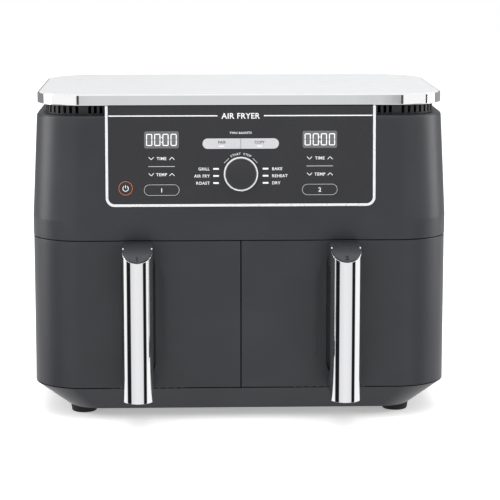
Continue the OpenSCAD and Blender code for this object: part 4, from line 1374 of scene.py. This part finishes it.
@dataclass
class Print:
    """Flat print on the leaning face, gathered into one piece for each finish.

    Attributes:
        layout: planes and levels.
        name: the piece's name.
        finish: the ink.
        body: the body that it rides on.
        level: height out of the face.
        bold: how much the letters are thickened, as a share of their height.
    """

    layout: Layout
    name: str
    finish: Finish
    body: str = "housing"
    level: float = 0.04 * MM
    bold: float = 0.02

    def __post_init__(self) -> None:
        """Starts the form."""
        self.form = Form(self.name)

    def word(
        self,
        text: str,
        x: float,
        y: float,
        height: float,
        align: Align = Align.CENTRE,
        spacing: float = 1.0,
        matrix: Matrix | None = None,
    ) -> None:
        """Prints a word in capitals.

        Args:
            text: the word.
            x: place to the right of the middle.
            y: middle of the capitals, up the face.
            height: height of the capitals.
            align: which end of the word sits at x.
            spacing: spacing of the letters.
            matrix: a further move on the face.
        """
        curve = bpy.data.curves.new(f"{self.name}_word", "FONT")
        curve.body = text
        curve.size = height / CAPITALS
        curve.align_x = align.value
        curve.space_character = spacing
        curve.offset = self.bold * height
        curve.resolution_u = 3
        mesh = settled_mesh(add_object("word", curve))
        mesh.transform((matrix or Matrix()) @ Matrix.Translation((x, y - height / 2, self.level)))
        self.form.bm.from_mesh(mesh)
        bpy.data.curves.remove(curve)
        bpy.data.meshes.remove(mesh)

    def bar(self, x: float, y: float, width: float, height: float, turn_deg: float = 0.0) -> None:
        """Prints a straight bar about its middle.

        Args:
            x: place to the right of the middle.
            y: place up the face.
            width: length across.
            height: length up.
            turn_deg: turn to the left.
        """
        part = Form("bar")
        part.rect((-width / 2, -height / 2), (width / 2, height / 2))
        turn = Matrix.Rotation(math.radians(turn_deg), 4, "Z")
        part.place(Matrix.Translation((x, y, self.level)) @ turn)
        self.take(part)

    def segment(self, x: float, y: float, length: float, thick: float, upright: bool) -> None:
        """Prints one pointed segment of a digit.

        Args:
            x: its middle.
            y: its middle.
            length: from point to point.
            thick: width of the segment.
            upright: whether it stands or lies.
        """
        part = Form("segment")
        face = part.rect((-length / 2, -thick / 2), (length / 2, thick / 2))
        part.round_corners(face, lambda p: True, thick * 0.49, 1)
        turn = Matrix.Rotation(math.pi / 2 if upright else 0, 4, "Z")
        part.place(Matrix.Translation((x, y, self.level)) @ turn)
        self.take(part)

    def ring(
        self,
        x: float,
        y: float,
        width: float,
        height: float,
        line: float,
        start: float = 0,
        sweep: float = 360,
    ) -> None:
        """Prints an outline with round ends.

        Args:
            x: its middle.
            y: its middle.
            width: width over the line.
            height: height over the line.
            line: thickness of the line.
            start: where an open ring begins, in degrees.
            sweep: how far it runs.
        """
        part = Form("ring")
        if sweep >= 360:
            face = part.rect((-width / 2, -height / 2), (width / 2, height / 2))
            face = part.round_corners(face, lambda p: True, min(width, height) / 2 * 0.985, 10)
            bmesh.ops.inset_region(
                part.bm, faces=[face], thickness=line, use_even_offset=True, use_boundary=True
            )
            bmesh.ops.delete(part.bm, geom=[face], context="FACES")
        else:
            edge = part.bm.verts.new((height / 2 - line, 0, 0)), part.bm.verts.new((height / 2, 0, 0))
            part.bm.edges.new(edge)
            part.place(Matrix.Rotation(math.radians(start), 4, "Z"))
            bmesh.ops.spin(
                part.bm,
                geom=part.bm.verts[:] + part.bm.edges[:],
                axis=(0, 0, 1),
                cent=(0, 0, 0),
                angle=math.radians(sweep),
                steps=28,
                use_duplicate=False,
            )
        part.place(Matrix.Translation((x, y, self.level)))
        self.take(part)

    def take(self, part: Form) -> None:
        """Adds a part to the print, facing outwards."""
        for face in part.bm.faces:
            if face.normal.z < 0:
                face.normal_flip()
        mesh = part.mesh()
        self.form.bm.from_mesh(mesh)
        bpy.data.meshes.remove(mesh)
        part.bm.free()

    def finish_piece(self, matrix: Matrix | None = None) -> bpy.types.Object:
        """Puts the print in place and makes it a piece.

        Args:
            matrix: where it goes, or None for the panel's face.

        Returns:
            The object.
        """
        bmesh.ops.recalc_face_normals(self.form.bm, faces=self.form.bm.faces[:])
        for face in self.form.bm.faces:
            if face.normal.z < 0:
                face.normal_flip()
        self.form.place(matrix or self.layout.face_frame())
        return self.form.piece(self.finish, self.body)


@dataclass
class ControlPanel:
    """The leaning panel: trim, overlay, windows with digits, keys, dial and print.

    Attributes:
        layout: planes and levels.
        body: the body that the fixed pieces ride on.
        dial_r: radius of the dial's ring.
        dial_base: from the face up to the dial's underside.
        dial_h: height of the knob.
        ring_w: width of the bright ring.
        ring_h: height of the bright ring.
        bore_r: radius of the knob's bore.
        bore_h: depth of the bore.
        digit_w: width of a digit.
        digit_h: height of a digit.
        digit_step: half the spacing of the digits.
        segment_t: thickness of a digit's segments.
        title_y: from the middle of the windows up to the title.
        row_y: from the dial's middle up to the first programme.
        row_step: spacing of the programmes.
        arc_r: radius of the arc of letters over the dial.
        arc_start_deg: turn of its first letter.
        arc_step_deg: turn from one letter to the next.
        mark_level: how far the print on the keys stands out of the face.
        pair_x: from the middle to each half's word on the double key.
    """

    layout: Layout
    body: str = "housing"
    dial_r: float = 16.9 * MM
    dial_base: float = 1.2 * MM
    dial_h: float = 7.0 * MM
    ring_w: float = 1.6 * MM
    ring_h: float = 5.0 * MM
    bore_r: float = 3.05 * MM
    bore_h: float = 4.3 * MM
    digit_w: float = 6.0 * MM
    digit_h: float = 11.8 * MM
    digit_step: float = 4.0 * MM
    segment_t: float = 0.85 * MM
    title_y: float = 23.5 * MM
    row_y: float = 4.9 * MM
    row_step: float = 7.0 * MM
    arc_r: float = 19.7 * MM
    arc_start_deg: float = 28.6
    arc_step_deg: float = 6.36
    mark_level: float = 0.29 * MM
    pair_x: float = 18.6 * MM

    def places(self) -> None:
        """Reads where the keys, windows and dial are on the face."""
        lay = self.layout
        self.dial = lay.node_on_face("dial_ring")
        self.zone = lay.node_on_face("zone_2_key")
        self.power = lay.node_on_face("power_key")
        self.pair_y = lay.node_on_face("match_key").y
        low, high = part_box("display_modules")
        self.window_y = lay.on_face((low + high) / 2).y

    def spun(self, name: str, profile: Sequence[tuple[float, float]], finish: Finish, node: str) -> None:
        """Makes a round piece on the dial's axis from its profile.

        Args:
            name: the piece's name.
            profile: (radius, height) points of the closed or axis-to-axis outline.
            finish: what it is made of.
            node: the CAD node that it stands for.
        """
        form = Form(name)
        verts = [form.bm.verts.new((r, 0, z)) for r, z in profile]
        for a, b in zip(verts, verts[1:]):
            form.bm.edges.new((a, b))
        if profile[0][0] > NEAR:
            form.bm.edges.new((verts[-1], verts[0]))
        bmesh.ops.spin(
            form.bm,
            geom=form.bm.verts[:] + form.bm.edges[:],
            axis=(0, 0, 1),
            cent=(0, 0, 0),
            angle=math.tau,
            steps=96,
            use_merge=True,
            use_duplicate=False,
        )
        form.close()
        form.place(self.layout.face_frame() @ Matrix.Translation((0, self.dial.y, 0)))
        form.piece(finish, "dial", (node,), 28)

    def dial_pieces(self) -> None:
        """Builds the knob, with a shallow dish in its face, and the bright ring round it."""
        radius, base, ring, bore = self.dial_r, self.dial_base, self.ring_w, self.bore_r
        high = self.dial_h + base
        inner = radius - ring - 0.1 * MM
        deep = base + self.bore_h
        self.spun(
            "dial_knob_face",
            [
                (0, deep),
                (bore, deep),
                (bore, base),
                (inner, base),
                (inner, high - 1.2 * MM),
                (inner - 0.35 * MM, high - 0.35 * MM),
                (inner - 1.2 * MM, high),
                (inner - 2.6 * MM, high - 0.1 * MM),
                (inner - 6 * MM, high - 0.45 * MM),
                (0, high - 0.6 * MM),
            ],
            PANEL,
            "dial_knob",
        )
        top = base + self.ring_h
        self.spun(
            "dial_bright_ring",
            [
                (radius - ring, base),
                (radius, base),
                (radius, top - 0.8 * MM),
                (radius - 0.25 * MM, top - 0.25 * MM),
                (radius - 0.8 * MM, top),
                (radius - ring + 0.2 * MM, top),
                (radius - ring, top - 0.2 * MM),
            ],
            BRIGHT_TRIM,
            "dial_ring",
        )

    def digits(self) -> None:
        """Lights the two displays: four noughts and a colon each."""
        lit = Print(self.layout, "display_digits", LIT_SEGMENT)
        thick = self.segment_t
        across, up = (self.digit_w - thick) / 2, (self.digit_h - thick) / 2
        for side in (-1, 1):
            for place in (-3, -1, 1, 3):
                x = side * self.zone.x + place * self.digit_step
                for end in (-1, 1):
                    lit.segment(x, self.window_y + end * up, 2 * across, thick, False)
                    for half in (-1, 1):
                        y = self.window_y + half * up / 2
                        lit.segment(x + end * across, y, up - 0.2 * MM, thick, True)
            for half in (-1, 1):
                lit.bar(side * self.zone.x, self.window_y + half * 2.4 * MM, thick, thick)
        lit.finish_piece()

    def legends(self) -> None:
        """Prints the panel's words, lines and marks."""
        white = Print(self.layout, "panel_print_white", WHITE_INK)
        grey = Print(self.layout, "panel_print_grey", GREY_INK)
        dial, title = self.dial.y, self.window_y + self.title_y
        white.word("AIR FRYER", 0, title, 5.6 * MM, spacing=1.06)
        white.word("TWO BASKETS", 0, title - 16.75 * MM, 2.1 * MM, spacing=1.15)
        for side in (-1, 1):
            zone = side * self.zone.x
            white.bar(side * 76.4 * MM, title, 107 * MM, 1.1 * MM)
            for level, word in ((dial + 15.3 * MM, "TIME"), (dial - 0.6 * MM, "TEMP")):
                white.word(word, zone, level, 3.0 * MM, spacing=1.1)
                for end in (-1, 1):
                    for slope in (-1, 1):
                        x = zone + (end * 10.2 + slope * 1.2) * MM
                        white.bar(x, level, 3.6 * MM, 0.6 * MM, -end * slope * 45)
            grey.bar(zone, dial + 7.4 * MM, 26.2 * MM, 0.7 * MM)
            words = ("GRILL", "AIR FRY", "ROAST") if side < 0 else ("BAKE", "REHEAT", "DRY")
            align = Align.RIGHT if side < 0 else Align.LEFT
            for row, word in enumerate(words):
                y = dial + self.row_y - self.row_step * row
                white.word(word, side * 30.7 * MM, y, 2.9 * MM, align, 1.1)
                white.bar(side * 24.4 * MM, y, 5.6 * MM, 1.7 * MM)
            white.bar(side * 14.0 * MM, dial + 12.9 * MM, 6.6 * MM, 0.45 * MM, -side * 45)
        for index, letter in enumerate("START STOP"):
            turn = math.radians(self.arc_start_deg - self.arc_step_deg * index)
            place = Matrix.Translation((0, dial, 0)) @ Matrix.Rotation(turn, 4, "Z")
            white.word(letter, 0, self.arc_r, 2.2 * MM, matrix=place)
        white.finish_piece()
        grey.finish_piece()

    def key_print(self) -> None:
        """Prints the marks on the keys, each riding on its key."""

        def on_key(key: str, part: str, finish: Finish) -> Print:
            """Starts the print of one part of a key's marks."""
            return Print(self.layout, f"{key}_{part}", finish, key, self.mark_level)

        for side, key, number in ((-1, "zone_1_key", "1"), (1, "zone_2_key", "2")):
            outline = on_key(key, "outline", GREY_INK)
            outline.ring(side * self.zone.x, self.zone.y, 35.0 * MM, 11.0 * MM, 0.5 * MM)
            mark = on_key(key, "number", WHITE_INK)
            mark.word(number, side * self.zone.x, self.zone.y, 4.2 * MM)
            outline.finish_piece()
            mark.finish_piece()
        x, y = self.power.x, self.power.y
        circle = on_key("power_key", "outline", AMBER_INK)
        circle.ring(x, y, 14.0 * MM, 14.0 * MM, 0.6 * MM)
        circle.finish_piece()
        sign = on_key("power_key", "sign", WHITE_INK)
        sign.ring(x, y - 0.2 * MM, 6.0 * MM, 6.0 * MM, 0.65 * MM, 125, 290)
        sign.bar(x, y + 1.6 * MM, 0.65 * MM, 3.0 * MM)
        sign.finish_piece()
        for side, key, word in ((-1, "sync_key", "PAIR"), (1, "match_key", "COPY")):
            mark = on_key(key, "word", DARK_INK)
            mark.word(word, side * self.pair_x, self.pair_y + 1.25 * MM, 2.7 * MM)
            mark.finish_piece()
            light = on_key(key, "light", WHITE_INK)
            light.bar(side * self.pair_x, self.pair_y - 2.6 * MM, 4.8 * MM, 1.2 * MM)
            light.finish_piece()

    def build(self) -> None:
        """Builds the panel's pieces."""
        self.places()
        dressed_copy("control_bezel", self.body, BRIGHT_TRIM, 0.3 * MM)
        dressed_copy("control_panel", self.body, PANEL, 0.15 * MM)
        dressed_copy("display_windows", self.body, WINDOW, 0.2 * MM)
        for node, finish in (
            ("power_key", PANEL),
            ("zone_1_key", PANEL),
            ("zone_2_key", PANEL),
            ("sync_key", SILVER),
            ("match_key", SILVER),
        ):
            dressed_copy(node, node, finish, 0.12 * MM, 2, f"{node}_cap")
        self.dial_pieces()
        self.digits()
        self.legends()
        self.key_print()


# ---------------------------------------------------------------- works inside


@dataclass
class Works:
    """Pieces inside the housing that keep their CAD shape and get softer edges.

    Attributes:
        plain: node, body and finish of each.
    """

    plain: tuple[tuple[str, str, Finish], ...] = (
        ("front_frame", "housing", DARK_TRIM),
        ("bay_divider", "housing", DARK_TRIM),
        ("chamber_deck", "housing", DARK_TRIM),
        ("chamber_left", "housing", SHEET_STEEL),
        ("chamber_right", "housing", SHEET_STEEL),
        ("convection_fan_left", "fan_left", SHEET_STEEL),
        ("convection_fan_right", "fan_right", SHEET_STEEL),
        ("drawer_guides", "housing", COMPONENT),
    )

    def build(self) -> None:
        """Dresses the copies."""
        for node, body, finish in self.plain:
            dressed_copy(node, body, finish, 0.25 * MM)


# ---------------------------------------------------------------- studio


@dataclass
class Studio:
    """Camera, lights, floor and the surroundings that the bright pieces mirror.

    Attributes:
        camera_at: the camera's place.
        pitch_deg: how far it looks down.
        yaw_deg: how far it looks to the right.
        lens: focal length on a 36 mm sensor, in millimetres.
        shift_y: shift of the frame.
        surround: brightness of the surroundings.
        handle_bands: (degrees right of straight ahead, colour) that the handles mirror.
        lid_bands: the same, for the lid's trim.
    """

    camera_at: tuple[float, float, float] = (-0.0523, -2.017, 0.4975)
    pitch_deg: float = 8.85
    yaw_deg: float = 1.84
    lens: float = 140.69
    shift_y: float = -0.0558
    surround: float = 1.05
    handle_bands: tuple[tuple[float, str], ...] = (
        (-95, "ffffff"),
        (-86, "1c1c1e"),
        (-56, "1c1c1e"),
        (-50, "e4e5e7"),
        (-12, "f2f2f3"),
        (12, "f0f0f1"),
        (40, "e8e8ea"),
        (46, "1c1c1e"),
        (68, "1c1c1e"),
        (74, "ffffff"),
        (100, "ffffff"),
    )
    lid_bands: tuple[tuple[float, str], ...] = (
        (-92, "8b8d90"),
        (-88, "ffffff"),
        (-12, "ffffff"),
        (-10.5, "3a3b3d"),
        (-5, "3a3b3d"),
        (-4, "d8d9da"),
        (6.3, "d8d9da"),
        (7.2, "3a3b3d"),
        (12, "3a3b3d"),
        (13.5, "ffffff"),
        (76, "ffffff"),
        (79, "141415"),
        (105, "141415"),
        (108, "9fa1a4"),
    )

    def camera(self) -> None:
        """Sets up the camera."""
        data = bpy.data.cameras.new("camera")
        data.lens = self.lens
        data.sensor_width = 36
        data.shift_y = self.shift_y
        data.clip_start = 0.01
        thing = add_object("camera", data)
        thing.location = self.camera_at
        thing.rotation_euler = (math.radians(90 - self.pitch_deg), 0, math.radians(-self.yaw_deg))
        bpy.context.scene.camera = thing

    def surroundings(self) -> None:
        """Paints soft upright bands round the horizon, which the chrome mirrors."""
        world = bpy.data.worlds.new("studio")
        world.use_nodes = True
        bpy.context.scene.world = world
        tree = world.node_tree
        tree.nodes.clear()
        place = add_node(tree, "ShaderNodeTexCoord")
        split = add_node(tree, "ShaderNodeSeparateXYZ", links={0: place.outputs["Generated"]})
        ahead = add_node(
            tree, "ShaderNodeMath", values={1: -1.0}, links={0: split.outputs["Y"]}, operation="MULTIPLY"
        )
        links = {0: split.outputs["X"], 1: ahead.outputs[0]}
        angle = add_node(tree, "ShaderNodeMath", links=links, operation="ARCTAN2")

        def share(value: bpy.types.NodeSocket, start: float, end: float) -> bpy.types.NodeSocket:
            """Runs from 0 to 1 while a value goes from start to end."""
            values = {"From Min": start, "From Max": end}
            return add_node(tree, "ShaderNodeMapRange", values=values, links={0: value}).outputs[0]

        turn = share(angle.outputs[0], -math.pi, math.pi)
        low_bands, high_bands = (
            add_node(
                tree,
                "ShaderNodeValToRGB",
                links={0: turn},
                stops=[((degrees + 180) / 360, code) for degrees, code in bands],
            )
            for bands in (self.handle_bands, self.lid_bands)
        )
        height = split.outputs["Z"]
        links = {"Factor": share(height, -0.15, -0.115), 6: low_bands.outputs[0], 7: high_bands.outputs[0]}
        horizon = add_node(tree, "ShaderNodeMix", links=links, data_type="RGBA")
        links = {"Factor": share(height, 0.25, 0.6), 6: horizon.outputs[2]}
        sky = add_node(tree, "ShaderNodeMix", values={7: srgb("ffffff")}, links=links, data_type="RGBA")
        around = add_node(
            tree, "ShaderNodeBackground", values={"Strength": self.surround}, links={"Color": sky.outputs[2]}
        )
        plain = add_node(tree, "ShaderNodeBackground", values={"Color": srgb("ffffff"), "Strength": 1.0})
        ray = add_node(tree, "ShaderNodeLightPath")
        links = {0: ray.outputs["Is Camera Ray"], 1: around.outputs[0], 2: plain.outputs[0]}
        mixed = add_node(tree, "ShaderNodeMixShader", links=links)
        add_node(tree, "ShaderNodeOutputWorld", links={0: mixed.outputs[0]})

    def lamp(
        self,
        name: str,
        at: Sequence[float],
        aim: Sequence[float],
        size: Sequence[float],
        power: float,
        mirrored: bool = False,
    ) -> None:
        """Adds a soft rectangular lamp.

        Args:
            name: the lamp's name.
            at: its place.
            aim: the point that it faces.
            size: its width and height.
            power: its power in watts.
            mirrored: whether glossy pieces show it.
        """
        data = bpy.data.lights.new(name, "AREA")
        data.shape = "RECTANGLE"
        data.size, data.size_y = size
        data.energy = power
        thing = add_object(name, data)
        thing.location = at
        way = Vector(aim) - Vector(at)
        thing.rotation_euler = way.to_track_quat("-Z", "Y").to_euler()
        thing.visible_glossy = mirrored

    def floor(self) -> None:
        """Lays a plain pale floor."""
        form = Form("studio_floor")
        form.rect((-6, -6), (6, 6), 0)
        mesh = form.mesh()
        form.bm.free()
        thing = add_object(form.name, mesh)
        mesh.materials.append(STUDIO_PAPER.build())
        thing.visible_glossy = False

    def build(self) -> None:
        """Sets up the whole studio."""
        self.camera()
        self.surroundings()
        self.floor()
        self.lamp("key_above", (0.0, -0.5, 2.2), (0, 0, 0.2), (2.4, 1.8), 23)
        self.lamp("fill_low", (0.0, -0.95, 0.06), (0, 0, 0.08), (1.6, 0.1), 1.6)
        for side in (-1, 1):
            self.lamp("side_softbox", (side * 1.7, 0.15, 0.55), (side * 0.2, -0.05, 0.2), (0.8, 1.1), 12, True)
        view = bpy.context.scene.view_settings
        view.view_transform = "Standard"
        view.look = "None"


# ---------------------------------------------------------------- main


def dress_nodes() -> None:
    """Gives every CAD node that still shows the finish of its slot."""
    slots = {part["node"]: part["material_slot"] for part in frame["record"]["subparts"]}
    for name, node in frame["nodes"].items():
        finish = FINISH_OF_SLOT[slots[name]]
        node.data.materials.clear()
        node.data.materials.append(finish.build())
        LOG.info("%s: %s", name, finish.name)


def main() -> None:
    """Builds the scene."""
    logging.basicConfig(level=logging.INFO, format="%(message)s")
    Studio().build()
    dress_nodes()
    layout = Layout.read()
    Housing(layout).build()
    for side in (-1, 1):
        Drawer(layout, side).build()
    ControlPanel(layout).build()
    Works().build()


if __name__ == "__main__":
    main()
